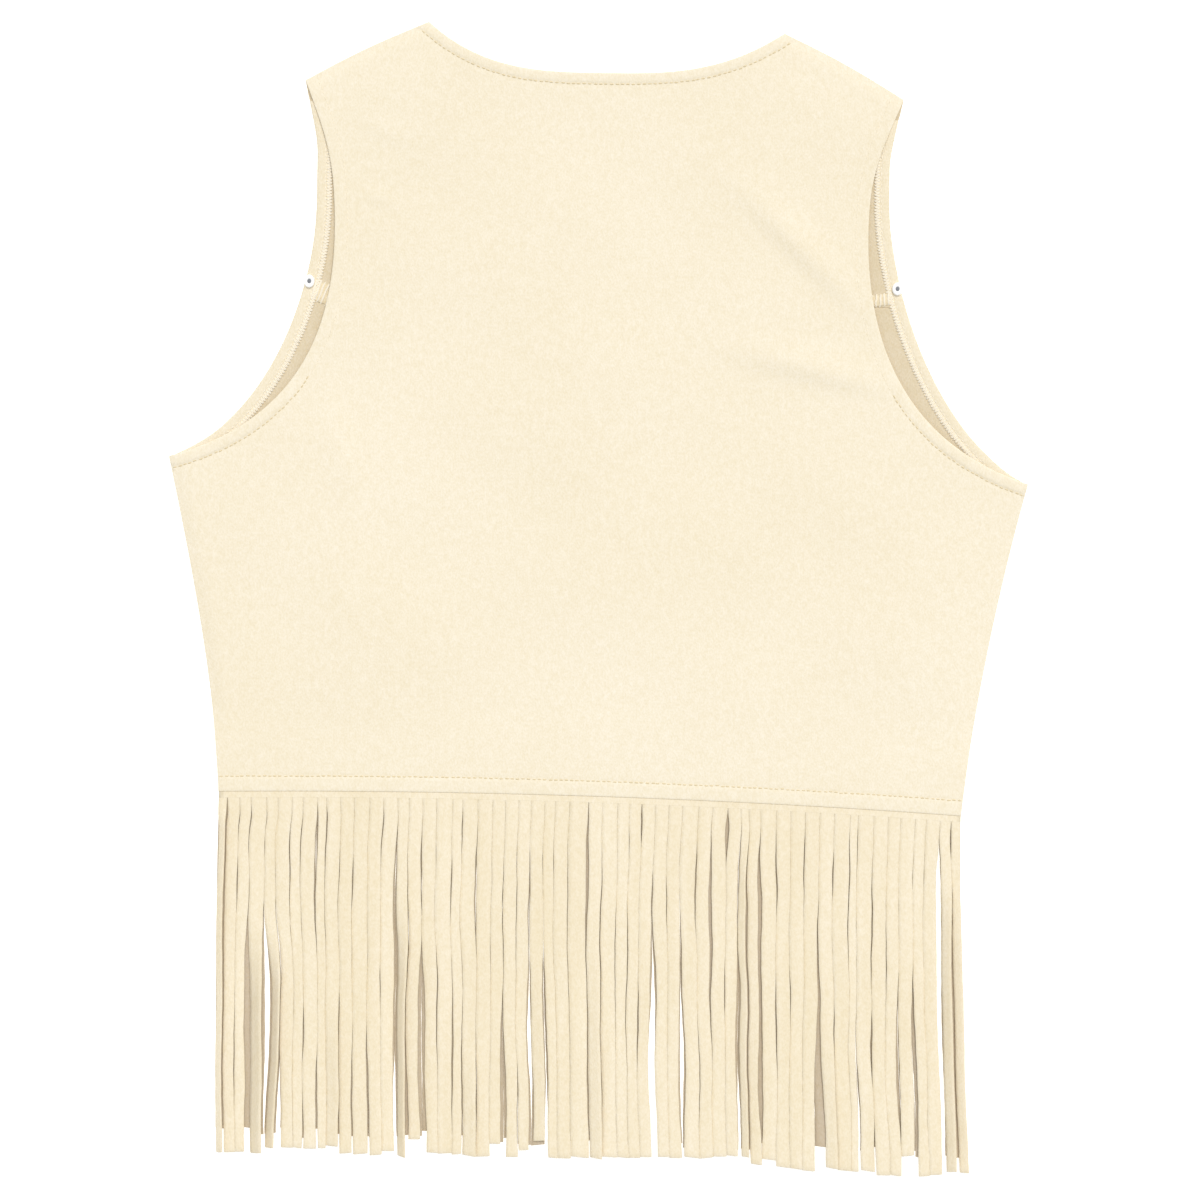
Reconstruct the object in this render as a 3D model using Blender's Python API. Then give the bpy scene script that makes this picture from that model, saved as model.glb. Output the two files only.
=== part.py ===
"""A fringed western vest laid flat on its front, with its back facing up.

X runs across the vest, Y from hem to neck and Z up from the surface that it
lies on. All values are in metres. Each cloth piece is a wall of its own, and
pieces lie GAP apart where they are sewn to each other.
"""
import math
from collections import namedtuple

import bmesh
import bpy
import numpy as np
from mathutils import Vector
from mathutils.geometry import interpolate_bezier

# Cloth
WALL = 0.0010
HEM_WALL = 0.0018
GAP = 0.0003
HEM_WIDTH = 0.0070
HEM_STEP = 0.0015

# Heights of the layers above the surface
STRIP_LEVEL = WALL + GAP
BACK_LEVEL = STRIP_LEVEL + WALL + GAP
BACK_FRINGE_LEVEL = BACK_LEVEL
BACK_HEM_LEVEL = BACK_FRINGE_LEVEL + WALL + GAP
HEM_HOLD = 0.020
HEM_FALL = 0.030

# Half of the body's cut, from the centre line outwards
NECK_HALF = 0.0995
NECK_TOP = 0.3174
NECK_BOTTOM = 0.2919
NECK_POWER = 3.1
NECK_TILT = 0.020
SHOULDER_HALF = 0.1675
SHOULDER_TIP = 0.2825
SHOULDER_BOW = 0.0016
PIT_HALF = 0.2405
PIT_HEIGHT = 0.0698
HEM_HALF = 0.2077
HEM_HEIGHT = -0.1168
HEM_RISE = 0.0042
YOKE_SEAM_HEIGHT = 0.1660
VEE_HALF = 0.0004
VEE_HEIGHT = 0.0950

# Where a half armhole is narrowest, and how far its curve's handles reach
Armhole = namedtuple("Armhole", "waist_half waist_height tip_in tip_down up down pit_in pit_up")
BACK_ARMHOLE = Armhole(0.1493, 0.2018, 0.0129, 0.0318, 0.0374, 0.0548, 0.0726, 0.0215)
FRONT_ARMHOLE = Armhole(0.1605, 0.2226, 0.0083, 0.0405, 0.0315, 0.0551, 0.0515, 0.0212)
SIDE_PIT_HANDLE = (-0.0149, -0.0609)
SIDE_HEM_HANDLE = (0.0044, 0.0584)

# The laid vest leans a little to one side between the hem and the shoulders
LEAN_HEM = 0.0013
LEAN_HEM_SPAN = (-0.080, 0.060)
LEAN_SHOULDER = -0.0036
LEAN_SHOULDER_SPAN = (0.100, 0.250)

# Soft folds of the back: where, how long, which way and how high they stand
Fold = namedtuple("Fold", "x y length turn half_width height")
FOLDS = (
    Fold(0.108, 0.199, 0.085, -44, 0.011, 0.0010),
    Fold(0.112, 0.130, 0.075, -17, 0.013, 0.0010),
    Fold(-0.118, 0.212, 0.040, -14, 0.010, 0.0007),
    Fold(-0.137, 0.085, 0.070, -80, 0.014, 0.0008),
    Fold(-0.130, -0.020, 0.090, -75, 0.030, 0.0009),
    Fold(0.165, -0.010, 0.110, 72, 0.034, 0.0009),
    Fold(0.010, 0.120, 0.200, 60, 0.050, 0.0006),
)

# Mesh density
SHOULDER_STEPS = 5
NECK_STEPS = 18
SIDE_STEPS = 10
ARMHOLE_STEPS = 13
FRONT_STEPS = 7
YOKE_STEPS = 6
STRIP_STEPS = 20

# What lies on the wrong side of the fronts
STRIP_IN = 0.0004
STRIP_WIDTH = 0.0068
STRIP_SHOULDER_END = 0.0150
STRIP_PIT_END = 0.0180
SEAM_HALF = 0.0070
BEAD_HEIGHTS = {"left": 0.1693, "right": 0.1768}
BEAD_IN = 0.0031
BEAD_RING_RADIUS = 0.00225
BEAD_TUBE_RADIUS = 0.00105
BEAD_PROFILE_STEPS = 8
BEAD_TURN_STEPS = 18

# Fringe
BACK_STRANDS = 55
FRONT_STRANDS = 28
BACKING_RISE = 0.0100
BACKING_DROP = 0.0035
FRINGE_END_INSET = 0.0002
SLIT = 0.0004
ROLL = math.radians(12)
ROLL_BY_DEPTH = 0.014
BACK_STRAND_WIDTH = 0.0070
BACK_STRAND_LEVEL = 0.0029
FRONT_STRAND_WIDTH = 0.0064
FRONT_STRAND_LEVEL = 0.0008
STRAND_DEPTHS = (0.014, 0.060, 0.105, 0.150)
TIP_HEIGHT = -0.3137
TIP_OUTER_DROP = 0.0040
TIP_OUTER_SPAN = (0.090, 0.130)
TIP_UNEVEN = 0.0013
FRINGE_LENGTH = 0.200
STRAND_LEAN = 0.0066
LEAN_POWER = 1.5
STRAND_FAN = 0.0020
PARTING_SPREAD = 0.022
STRAND_SEED = 7

# Where the strands part: place along the hem, the depths where it starts and is full, its width
Parting = namedtuple("Parting", "at start full width")
BACK_PARTINGS = (
    Parting(-0.1915, 0.060, 0.110, 0.0035),
    Parting(-0.1805, 0.070, 0.120, 0.0055),
    Parting(-0.153, 0.015, 0.050, 0.0015),
    Parting(-0.108, 0.015, 0.090, 0.0030),
    Parting(-0.032, 0.073, 0.130, 0.0040),
    Parting(0.001, 0.002, 0.060, 0.0018),
    Parting(0.035, 0.067, 0.120, 0.0045),
    Parting(0.054, 0.104, 0.150, 0.0040),
    Parting(0.073, 0.120, 0.150, 0.0015),
    Parting(0.0865, 0.140, 0.180, 0.0025),
    Parting(0.097, 0.028, 0.080, 0.0045),
    Parting(0.131, 0.087, 0.140, 0.0045),
    Parting(0.151, 0.140, 0.180, 0.0035),
    Parting(0.171, 0.104, 0.150, 0.0030),
    Parting(0.200, 0.029, 0.070, 0.0045),
)
FRONT_PARTINGS = (
    Parting(-0.1805, 0.070, 0.130, 0.0040),
    Parting(-0.100, 0.060, 0.120, 0.0025),
    Parting(0.036, 0.070, 0.130, 0.0035),
    Parting(0.054, 0.100, 0.150, 0.0030),
    Parting(0.151, 0.120, 0.170, 0.0030),
    Parting(0.200, 0.060, 0.120, 0.0040),
)

SIDES = {"left": -1, "right": 1}


def smooth(share):
    """Ease from 0 to 1 as the share goes from 0 to 1."""
    share = min(max(share, 0.0), 1.0)
    return share * share * (3 - 2 * share)


def span_share(value, span):
    return (value - span[0]) / (span[1] - span[0])


def lean(height):
    """Sideways shift of the laid vest at a height along Y."""
    low = LEAN_HEM * (1 - smooth(span_share(height, LEAN_HEM_SPAN)))
    return low + LEAN_SHOULDER * smooth(span_share(height, LEAN_SHOULDER_SPAN))


def placed(points, side):
    """Half-cut points on one side of the centre line, leaning as the vest lies."""
    return np.array([(side * x + lean(y), y) for x, y in points])


def bezier(start, start_handle, end_handle, end, steps=40):
    knots = [Vector((x, y, 0)) for x, y in (start, start_handle, end_handle, end)]
    return np.array([(p.x, p.y) for p in interpolate_bezier(*knots, steps)])


def resample(points, steps):
    """The same line with evenly spaced points."""
    reach = np.concatenate([[0], np.cumsum(np.hypot(*np.diff(points, axis=0).T))])
    at = np.linspace(0, reach[-1], steps + 1)
    return np.column_stack([np.interp(at, reach, points[:, axis]) for axis in (0, 1)])


def joined(*lines):
    """Lines end to end, with shared end points kept once."""
    return np.vstack([lines[0]] + [line[1:] for line in lines[1:]])


def straight(start, end, steps):
    return np.linspace(start, end, steps + 1)


def hem_height(x):
    return HEM_HEIGHT + HEM_RISE * (1 - (x / HEM_HALF) ** 2)


def hem_line(inner, outer, steps):
    across = np.linspace(inner, outer, steps + 1)
    return np.column_stack([across, hem_height(across)])


def side_line():
    """The side edge of a half cut, from the hem up to the pit."""
    pit = np.array((PIT_HALF, PIT_HEIGHT))
    corner = np.array((HEM_HALF, HEM_HEIGHT))
    return bezier(corner, corner + SIDE_HEM_HANDLE, pit + SIDE_PIT_HANDLE, pit)


def armhole_line(cut):
    """The armhole edge of a half cut, from the pit up to the shoulder tip."""
    pit = (PIT_HALF, PIT_HEIGHT)
    waist = (cut.waist_half, cut.waist_height)
    tip = (SHOULDER_HALF, SHOULDER_TIP)
    lower = bezier(
        pit,
        (PIT_HALF - cut.pit_in, PIT_HEIGHT + cut.pit_up),
        (cut.waist_half, cut.waist_height - cut.down),
        waist,
    )
    upper = bezier(
        waist,
        (cut.waist_half, cut.waist_height + cut.up),
        (SHOULDER_HALF - cut.tip_in, SHOULDER_TIP - cut.tip_down),
        tip,
    )
    return joined(lower, upper)


def shoulder_line(steps):
    """The shoulder of a half cut from the neck point to the tip, a little bowed."""
    line = straight((NECK_HALF, NECK_TOP), (SHOULDER_HALF, SHOULDER_TIP), steps)
    line[:, 1] += SHOULDER_BOW * np.sin(np.linspace(0, math.pi, steps + 1))
    return line


def neck_line():
    """The back's neck edge from one neck point to the other."""
    across = np.linspace(-NECK_HALF, NECK_HALF, NECK_STEPS + 1)
    share = np.abs(across / NECK_HALF)
    rise = (NECK_TOP - NECK_BOTTOM) * share**NECK_POWER
    tilt = NECK_TILT * across * (1 - share**4)
    return np.column_stack([across, NECK_BOTTOM + rise + tilt])


def below(points, height):
    """The part of a rising line up to a height."""
    kept = points[points[:, 1] < height]
    end = (np.interp(height, points[:, 1], points[:, 0]), height)
    return np.vstack([kept, end])


def above(points, height):
    kept = points[points[:, 1] > height]
    start = (np.interp(height, points[:, 1], points[:, 0]), height)
    return np.vstack([start, kept])


def filled(bottom, top, left, right):
    """Rows of points that fill the space between four edge lines."""
    across = (top[:, 0] - top[0, 0]) / (top[-1, 0] - top[0, 0])
    rows = []
    for step in range(len(left)):
        up = step / (len(left) - 1)
        row = []
        for column, share in enumerate(across):
            edges = (1 - up) * bottom[column] + up * top[column]
            sides = (1 - share) * left[step] + share * right[step]
            low = (1 - share) * bottom[0] + share * bottom[-1]
            high = (1 - share) * top[0] + share * top[-1]
            row.append(edges + sides - (1 - up) * low - up * high)
        rows.append(row)
    return rows


def distance_to(line, point):
    """Shortest distance in the plane from a point to a line of points."""
    start, end = line[:-1], line[1:]
    along = end - start
    share = np.einsum("ij,ij->i", point - start, along) / np.einsum("ij,ij->i", along, along)
    nearest = start + np.clip(share, 0, 1)[:, None] * along
    return float(np.min(np.hypot(*(nearest - point).T)))


def sheet(rows, level=0.0):
    """A flat sheet of quads through rows of points."""
    mesh = bmesh.new()
    bmesh.ops.create_grid(mesh, x_segments=len(rows[0]) - 1, y_segments=len(rows) - 1, size=1)
    order = sorted(mesh.verts, key=lambda vert: (round(vert.co.y, 5), vert.co.x))
    points = [point for row in rows for point in row]
    for vert, (x, y) in zip(order, points):
        vert.co = (x, y, level)
    return mesh


def thicken(mesh, wall_at):
    """Give a sheet its wall by drawing all of it upwards."""
    grown = bmesh.ops.extrude_face_region(mesh, geom=mesh.faces[:])
    for vert in grown["geom"]:
        if isinstance(vert, bmesh.types.BMVert):
            vert.co.z += wall_at(vert.co)
    bmesh.ops.recalc_face_normals(mesh, faces=mesh.faces)


def material(name, colour, roughness):
    made = bpy.data.materials.new(name)
    made.use_nodes = True
    shader = made.node_tree.nodes["Principled BSDF"]
    shader.inputs["Base Color"].default_value = (*colour, 1.0)
    shader.inputs["Roughness"].default_value = roughness
    shader.inputs["Metallic"].default_value = 0.0
    return made


def add_object(name, mesh, colour, roughness=0.95, soft=False):
    """Turn a bmesh into an object of its own with its own material."""
    data = bpy.data.meshes.new(name)
    mesh.to_mesh(data)
    mesh.free()
    made = bpy.data.objects.new(name, data)
    bpy.context.scene.collection.objects.link(made)
    data.materials.append(material(name + "_finish", colour, roughness))
    for face in data.polygons:
        face.use_smooth = soft
    return made


CREAM = (0.956, 0.867, 0.680)
WRONG_SIDE = (0.800, 0.700, 0.500)
FRINGE_CREAM = (0.900, 0.800, 0.610)
BEAD_WHITE = (0.900, 0.900, 0.890)


def fold_height(x, y):
    """How far the soft folds lift the back at a place."""
    lift = 0.0
    for fold in FOLDS:
        turn = math.radians(fold.turn)
        along = (x - fold.x) * math.cos(turn) + (y - fold.y) * math.sin(turn)
        aside = (y - fold.y) * math.cos(turn) - (x - fold.x) * math.sin(turn)
        reach = (along / fold.length * 2) ** 2 + (aside / fold.half_width) ** 2
        lift += fold.height * math.exp(-reach)
    return lift


def edge_rows(edge, inner, outer):
    """Rows of points along an edge line, set in from it by two distances."""
    along = np.gradient(edge, axis=0)
    along /= np.hypot(*along.T)[:, None]
    inward = np.column_stack([-along[:, 1], along[:, 0]])
    return [edge + inner * inward, edge + outer * inward]


def build_back():
    """The back in one piece, with its turned hems as a thicker border."""
    shoulder = shoulder_line(SHOULDER_STEPS)
    armhole = resample(armhole_line(BACK_ARMHOLE), ARMHOLE_STEPS)
    edge = joined(resample(side_line(), SIDE_STEPS), armhole)
    left, right = placed(edge, SIDES["left"]), placed(edge, SIDES["right"])
    left_shoulder = placed(shoulder[::-1], SIDES["left"])
    right_shoulder = placed(shoulder, SIDES["right"])
    neck = placed(neck_line(), SIDES["right"])
    top = joined(left_shoulder, neck, right_shoulder)
    share = (top[:, 0] - top[0, 0]) / (top[-1, 0] - top[0, 0])
    across = HEM_HALF * (2 * share - 1)
    bottom = np.column_stack([across + lean(HEM_HEIGHT), hem_height(across)])

    mesh = sheet(filled(bottom, top, left, right))
    cloth = mesh.faces[:]
    for width in (HEM_WIDTH, HEM_STEP):
        bmesh.ops.inset_region(
            mesh, faces=cloth, thickness=width, use_boundary=True, use_even_offset=True
        )
    seams = (left[: SIDE_STEPS + 1], right[: SIDE_STEPS + 1], left_shoulder, right_shoulder)
    for vert in mesh.verts:
        place = np.array((vert.co.x, vert.co.y))
        from_seam = min(distance_to(line, place) for line in seams)
        from_hem = distance_to(bottom, place)
        level = STRIP_LEVEL + (BACK_LEVEL - STRIP_LEVEL) * min(from_seam / HEM_WIDTH, 1.0)
        level += fold_height(*place) * smooth(from_seam / HEM_FALL)
        near_hem = 1 - smooth((from_hem - HEM_HOLD) / HEM_FALL)
        vert.co.z = level + (BACK_HEM_LEVEL - level) * near_hem

    outline = joined(bottom, right, top[::-1], left[::-1])
    hem_edge = HEM_WIDTH + HEM_STEP / 2

    def wall_at(place):
        in_hem = distance_to(outline, np.array((place.x, place.y))) < hem_edge
        return HEM_WALL if in_hem else WALL

    thicken(mesh, wall_at)
    add_object("back_panel", mesh, CREAM, soft=True)


def vee_at(height):
    """Distance of the front's neck edge from the centre line at a height."""
    share = (height - VEE_HEIGHT) / (NECK_TOP - VEE_HEIGHT)
    return VEE_HALF + (NECK_HALF - VEE_HALF) * share


def flat_piece(name, rows, side, level, colour):
    """A piece of even wall through rows of half-cut points."""
    mesh = sheet([placed(row, SIDES[side]) for row in rows], level)
    thicken(mesh, lambda place: WALL)
    add_object(f"{name}_{side}", mesh, colour)


def build_front(side):
    """The front's lower part and its yoke, whose seam runs to the armhole."""
    armhole = armhole_line(FRONT_ARMHOLE)
    lower_end = YOKE_SEAM_HEIGHT - GAP / 2
    yoke_start = YOKE_SEAM_HEIGHT + GAP / 2
    lower_armhole = resample(below(armhole, lower_end), YOKE_STEPS)
    outer = joined(resample(side_line(), SIDE_STEPS), lower_armhole)
    opening = straight((VEE_HALF, hem_height(VEE_HALF)), (VEE_HALF, VEE_HEIGHT), SIDE_STEPS)
    vee_foot = straight((VEE_HALF, VEE_HEIGHT), (vee_at(lower_end), lower_end), YOKE_STEPS)
    inner = joined(opening, vee_foot)
    seam = straight(inner[-1], outer[-1], FRONT_STEPS)
    hem = hem_line(VEE_HALF, HEM_HALF, FRONT_STEPS)
    flat_piece("front", filled(hem, seam, inner, outer), side, 0.0, CREAM)

    yoke_outer = resample(above(armhole, yoke_start), YOKE_STEPS)
    yoke_inner = straight((vee_at(yoke_start), yoke_start), (NECK_HALF, NECK_TOP), YOKE_STEPS)
    yoke_seam = straight(yoke_inner[0], yoke_outer[0], FRONT_STEPS)
    yoke = filled(yoke_seam, shoulder_line(FRONT_STEPS), yoke_inner, yoke_outer)
    flat_piece("yoke", yoke, side, 0.0, CREAM)


def build_wrong_side(side):
    """The turned armhole hem and the pressed yoke seam inside a front."""
    armhole = resample(armhole_line(FRONT_ARMHOLE), 200)
    reach = np.concatenate([[0], np.cumsum(np.hypot(*np.diff(armhole, axis=0).T))])
    kept = (reach > STRIP_PIT_END) & (reach < reach[-1] - STRIP_SHOULDER_END)
    edge = resample(armhole[kept], STRIP_STEPS)
    strip = edge_rows(edge, STRIP_IN, STRIP_IN + STRIP_WIDTH)
    flat_piece("armhole_hem", strip, side, STRIP_LEVEL, WRONG_SIDE)

    inner_edge = strip[1]
    rows = []
    for height in (YOKE_SEAM_HEIGHT - SEAM_HALF, YOKE_SEAM_HEIGHT + SEAM_HALF):
        end = np.interp(height, inner_edge[:, 1], inner_edge[:, 0]) - 2 * GAP
        rows.append(straight((vee_at(height) + GAP, height), (end, height), FRONT_STEPS))
    flat_piece("yoke_seam", rows, side, STRIP_LEVEL, WRONG_SIDE)


def build_bead(side):
    """A small ring bead sewn on the armhole hem beside the yoke seam."""
    height = BEAD_HEIGHTS[side]
    armhole = armhole_line(FRONT_ARMHOLE)
    out = np.interp(height, armhole[:, 1], armhole[:, 0]) - BEAD_IN
    x, y = placed([(out, height)], SIDES[side])[0]
    bpy.ops.mesh.primitive_torus_add(
        major_segments=BEAD_TURN_STEPS,
        minor_segments=BEAD_PROFILE_STEPS,
        major_radius=BEAD_RING_RADIUS,
        minor_radius=BEAD_TUBE_RADIUS,
        location=(x, y, BACK_LEVEL + BEAD_TUBE_RADIUS),
    )
    bead = bpy.context.object
    bead.name = f"bead_{side}"
    bead.data.materials.append(material(bead.name + "_finish", BEAD_WHITE, 0.3))
    bpy.ops.object.shade_smooth()


def strand_shift(at, depth, partings):
    """How far a strand has drifted sideways at a depth below its root."""
    share = depth / FRINGE_LENGTH
    shift = STRAND_LEAN * share**LEAN_POWER + STRAND_FAN * share * at / HEM_HALF
    for parting in partings:
        opened = smooth((depth - parting.start) / (parting.full - parting.start))
        push = parting.width / 2 * opened * math.exp(-abs(at - parting.at) / PARTING_SPREAD)
        shift += math.copysign(push, at - parting.at)
    return shift


Fringe = namedtuple("Fringe", "name start end strands level low_level width roll partings")


def slit_places(fringe):
    """Where the strip is cut, evenly but with a cut at each parting."""
    pitch = (fringe.end - fringe.start) / fringe.strands
    numbers, places = [0], [fringe.start]
    for parting in fringe.partings:
        if fringe.start + pitch / 2 < parting.at < fringe.end - pitch / 2:
            numbers.append(round((parting.at - fringe.start) / pitch))
            places.append(parting.at)
    numbers.append(fringe.strands)
    places.append(fringe.end)
    return np.interp(range(fringe.strands + 1), numbers, places)


def strand_points(fringe, left, right, root_y, tip_y):
    """Left and right edge points of one strand, from its root to its tip."""
    at = (left + right) / 2
    length = root_y - tip_y
    points = [((left, root_y, fringe.level), (right, root_y, fringe.level))]
    for depth in (*STRAND_DEPTHS, length):
        turned = smooth(depth / ROLL_BY_DEPTH)
        roll = fringe.roll * turned
        half = fringe.width / 2
        x = at + strand_shift(at, depth, fringe.partings)
        z = fringe.level + (fringe.low_level - fringe.level) * turned
        aside, up = half * math.cos(roll), half * math.sin(roll)
        y = root_y - depth
        points.append(((x - aside, y, z - up), (x + aside, y, z + up)))
    return points


def build_fringe(fringe, uneven):
    """A backing strip cut into strands below the hem, as a sheet with a wall."""
    mesh = bmesh.new()
    cuts = slit_places(fringe)
    backing_left = None
    for left, right in zip(cuts[:-1] + SLIT / 2, cuts[1:] - SLIT / 2):
        middle = (left + right) / 2
        outer_drop = TIP_OUTER_DROP * smooth(span_share(abs(middle), TIP_OUTER_SPAN))
        tip_y = TIP_HEIGHT - outer_drop + TIP_UNEVEN * uneven.uniform(-1, 1)
        root_y = hem_height(middle - LEAN_HEM) - BACKING_DROP
        top_y = root_y + BACKING_DROP + BACKING_RISE
        top = [mesh.verts.new((x, top_y, fringe.level)) for x in (left, right)]
        strand = strand_points(fringe, left, right, root_y, tip_y)
        rows = [[mesh.verts.new(point) for point in pair] for pair in strand]
        for upper, lower in zip([top] + rows[:-1], rows):
            mesh.faces.new((lower[0], lower[1], upper[1], upper[0]))
        if backing_left:
            mesh.faces.new((backing_left[0], rows[0][0], top[0], backing_left[1]))
        backing_left = (rows[0][1], top[1])
    made = add_object(fringe.name, mesh, FRINGE_CREAM)
    wall = made.modifiers.new("wall", "SOLIDIFY")
    wall.thickness = WALL
    wall.offset = 0.0


def build_fringes():
    """One fringe under the back's hem and one for each front."""
    uneven = np.random.default_rng(STRAND_SEED)
    outer = HEM_HALF - FRINGE_END_INSET
    inner = VEE_HALF + FRINGE_END_INSET
    back_level = BACK_FRINGE_LEVEL + WALL / 2
    front_level = STRIP_LEVEL + WALL / 2
    build_fringe(
        Fringe(
            "fringe_back", LEAN_HEM - outer, LEAN_HEM + outer, BACK_STRANDS,
            back_level, BACK_STRAND_LEVEL, BACK_STRAND_WIDTH, ROLL, BACK_PARTINGS,
        ),
        uneven,
    )
    spans = {
        "left": (LEAN_HEM - outer, LEAN_HEM - inner),
        "right": (LEAN_HEM + inner, LEAN_HEM + outer),
    }
    for side, (start, end) in spans.items():
        build_fringe(
            Fringe(
                f"fringe_front_{side}", start, end, FRONT_STRANDS,
                front_level, FRONT_STRAND_LEVEL, FRONT_STRAND_WIDTH, 0.0, FRONT_PARTINGS,
            ),
            uneven,
        )


def main():
    for thing in list(bpy.data.objects):
        bpy.data.objects.remove(thing, do_unlink=True)
    build_back()
    for side in SIDES:
        build_front(side)
        build_wrong_side(side)
        build_bead(side)
    build_fringes()


main()
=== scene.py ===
# %% [markdown]
# # A fringed western vest, laid flat with its back facing up
#
# The vest is cream suede cloth: a one-piece back over two fronts with yokes, turned
# hems at the neck and armholes, and a deep fringe sewn under the bottom hem. The
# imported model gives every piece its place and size. Here each piece gets its real
# form, from the rounded edge of a hem to the single stitches, and its finish.

# %% Load the frame
import math
from collections import namedtuple

import bpy
import numpy as np
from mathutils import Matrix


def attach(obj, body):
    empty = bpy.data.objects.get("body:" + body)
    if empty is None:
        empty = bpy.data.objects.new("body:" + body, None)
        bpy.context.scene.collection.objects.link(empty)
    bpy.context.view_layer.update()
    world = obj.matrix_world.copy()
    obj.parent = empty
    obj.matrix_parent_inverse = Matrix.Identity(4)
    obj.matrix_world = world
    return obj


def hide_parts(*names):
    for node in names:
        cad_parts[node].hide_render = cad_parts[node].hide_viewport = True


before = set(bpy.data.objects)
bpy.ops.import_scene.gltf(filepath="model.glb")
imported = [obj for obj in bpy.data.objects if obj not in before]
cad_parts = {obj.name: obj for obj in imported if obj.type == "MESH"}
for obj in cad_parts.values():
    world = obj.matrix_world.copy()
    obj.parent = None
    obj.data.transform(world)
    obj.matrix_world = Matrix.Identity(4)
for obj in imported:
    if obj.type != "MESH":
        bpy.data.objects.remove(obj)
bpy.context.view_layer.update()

# %% [markdown]
# ## The cut
#
# A maker starts with paper patterns. These are the same sizes as the frame's, in
# metres: half widths are measured from the centre line, heights along Y from the
# middle of the laid vest. The armhole is two curves that meet where it is narrowest.

# %% Sizes of the cut
NECK_HALF, NECK_TOP, NECK_BOTTOM = 0.0995, 0.3174, 0.2919
NECK_POWER, NECK_TILT = 3.1, 0.020
SHOULDER_HALF, SHOULDER_TIP, SHOULDER_BOW = 0.1675, 0.2825, 0.0016
PIT_HALF, PIT_HEIGHT = 0.2405, 0.0698
HEM_HALF, HEM_HEIGHT, HEM_RISE = 0.2077, -0.1168, 0.0042
YOKE_SEAM_HEIGHT = 0.1660
VEE_HALF, VEE_HEIGHT = 0.0004, 0.0950
Armhole = namedtuple("Armhole", "waist_half waist_height tip_in tip_down up down pit_in pit_up")
BACK_ARMHOLE = Armhole(0.1493, 0.2018, 0.0129, 0.0318, 0.0374, 0.0548, 0.0726, 0.0215)
FRONT_ARMHOLE = Armhole(0.1605, 0.2226, 0.0083, 0.0405, 0.0315, 0.0551, 0.0515, 0.0212)
SIDE_PIT_HANDLE = (-0.0149, -0.0609)
SIDE_HEM_HANDLE = (0.0044, 0.0584)
LEAN_HEM, LEAN_HEM_SPAN = 0.0013, (-0.080, 0.060)
LEAN_SHOULDER, LEAN_SHOULDER_SPAN = -0.0036, (0.100, 0.250)
FRONT_SLIP, SLIP_SPANS = 0.0016, ((0.070, 0.086), (0.180, 0.230), (0.230, 0.282))
SIDES = {"left": -1, "right": 1}

# %% [markdown]
# ## How the vest leans
#
# A vest laid down by hand is never quite straight. The hem of this one lies a little
# to the right of its centre line, and the shoulders a little to the left. So every
# line is drawn for one half, and `placed` then mirrors it and leans it. The fronts
# have also slipped a little at the armholes, which `slipped` adds.


# %% Leaning and slipping
def smooth(share):
    """Ease from 0 to 1 as the share goes from 0 to 1; works on arrays too."""
    share = np.clip(share, 0, 1)
    return share * share * (3 - 2 * share)


def span_share(value, span):
    return (value - span[0]) / (span[1] - span[0])


def lean(height):
    low = LEAN_HEM * (1 - smooth(span_share(height, LEAN_HEM_SPAN)))
    return low + LEAN_SHOULDER * smooth(span_share(height, LEAN_SHOULDER_SPAN))


def placed(points, side=1):
    """Half-cut points on one side of the centre line, leaning as the vest lies."""
    points = np.asarray(points, float)
    return np.column_stack([side * points[:, 0] + lean(points[:, 1]), points[:, 1]])


def slipped(points, side=1):
    """Placed points of a front, which has slipped a little to the right at the armholes."""
    points = placed(points, side)
    height = points[:, 1]
    low, middle, high = (smooth(span_share(height, span)) for span in SLIP_SPANS)
    points[:, 0] += FRONT_SLIP * low * (1 - middle / 2) * (1 - high)
    return points


print("the hem leans by", round(1000 * float(lean(HEM_HEIGHT)), 1), "mm, the shoulders by",
      round(1000 * float(lean(SHOULDER_TIP)), 1), "mm")

# %% [markdown]
# ## Curves, and distances along them
#
# The curved edges are Bezier curves, given by two ends and two handles, much as a
# tailor bends a ruler between two marks. What is sewn beside an edge then needs the
# distance along it, the points at such distances and the direction square to it.


# %% Curves
def bezier(start, start_handle, end_handle, end, steps=90):
    t = np.linspace(0, 1, steps)[:, None]
    knots = [np.array(knot_shade, float) for knot_shade in (start, start_handle, end_handle, end)]
    weights = ((1 - t) ** 3, 3 * (1 - t) ** 2 * t, 3 * (1 - t) * t**2, t**3)
    return sum(weight * knot_shade for weight, knot_shade in zip(weights, knots))


def along(points):
    """Distance along a line at each of its points, measured in the plane."""
    steps = np.linalg.norm(np.diff(points[:, :2], axis=0), axis=1)
    return np.concatenate([[0], np.cumsum(steps)])


def at_reach(points, reach):
    """Points of a line, with any values they carry, at distances along it."""
    whole = along(points)
    return np.column_stack([np.interp(reach, whole, column) for column in points.T])


def unit_left(points):
    """Unit vectors to the left of a line at each of its points."""
    ahead = np.gradient(points, axis=0)
    ahead /= np.linalg.norm(ahead, axis=1)[:, None]
    return np.column_stack([-ahead[:, 1], ahead[:, 0]])


def inset(points, distance):
    """The line moved to its left by a distance, or by one for each point."""
    return points + np.reshape(distance, (-1, 1)) * unit_left(points)


def joined(*lines):
    return np.vstack([lines[0]] + [line[1:] for line in lines[1:]])


def straight(start, end, steps=60):
    return np.linspace(start, end, steps + 1)


# %% [markdown]
# ## The edges of the cut
#
# The hem is a flat arch, the side and the armhole are Bezier curves, the shoulder is
# a bowed line and the neck a power curve. One function draws the armholes of the
# back and of the fronts, because they differ only in the numbers of their cut.


# %% Edges
def hem_height(x):
    return HEM_HEIGHT + HEM_RISE * (1 - (x / HEM_HALF) ** 2)


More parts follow.
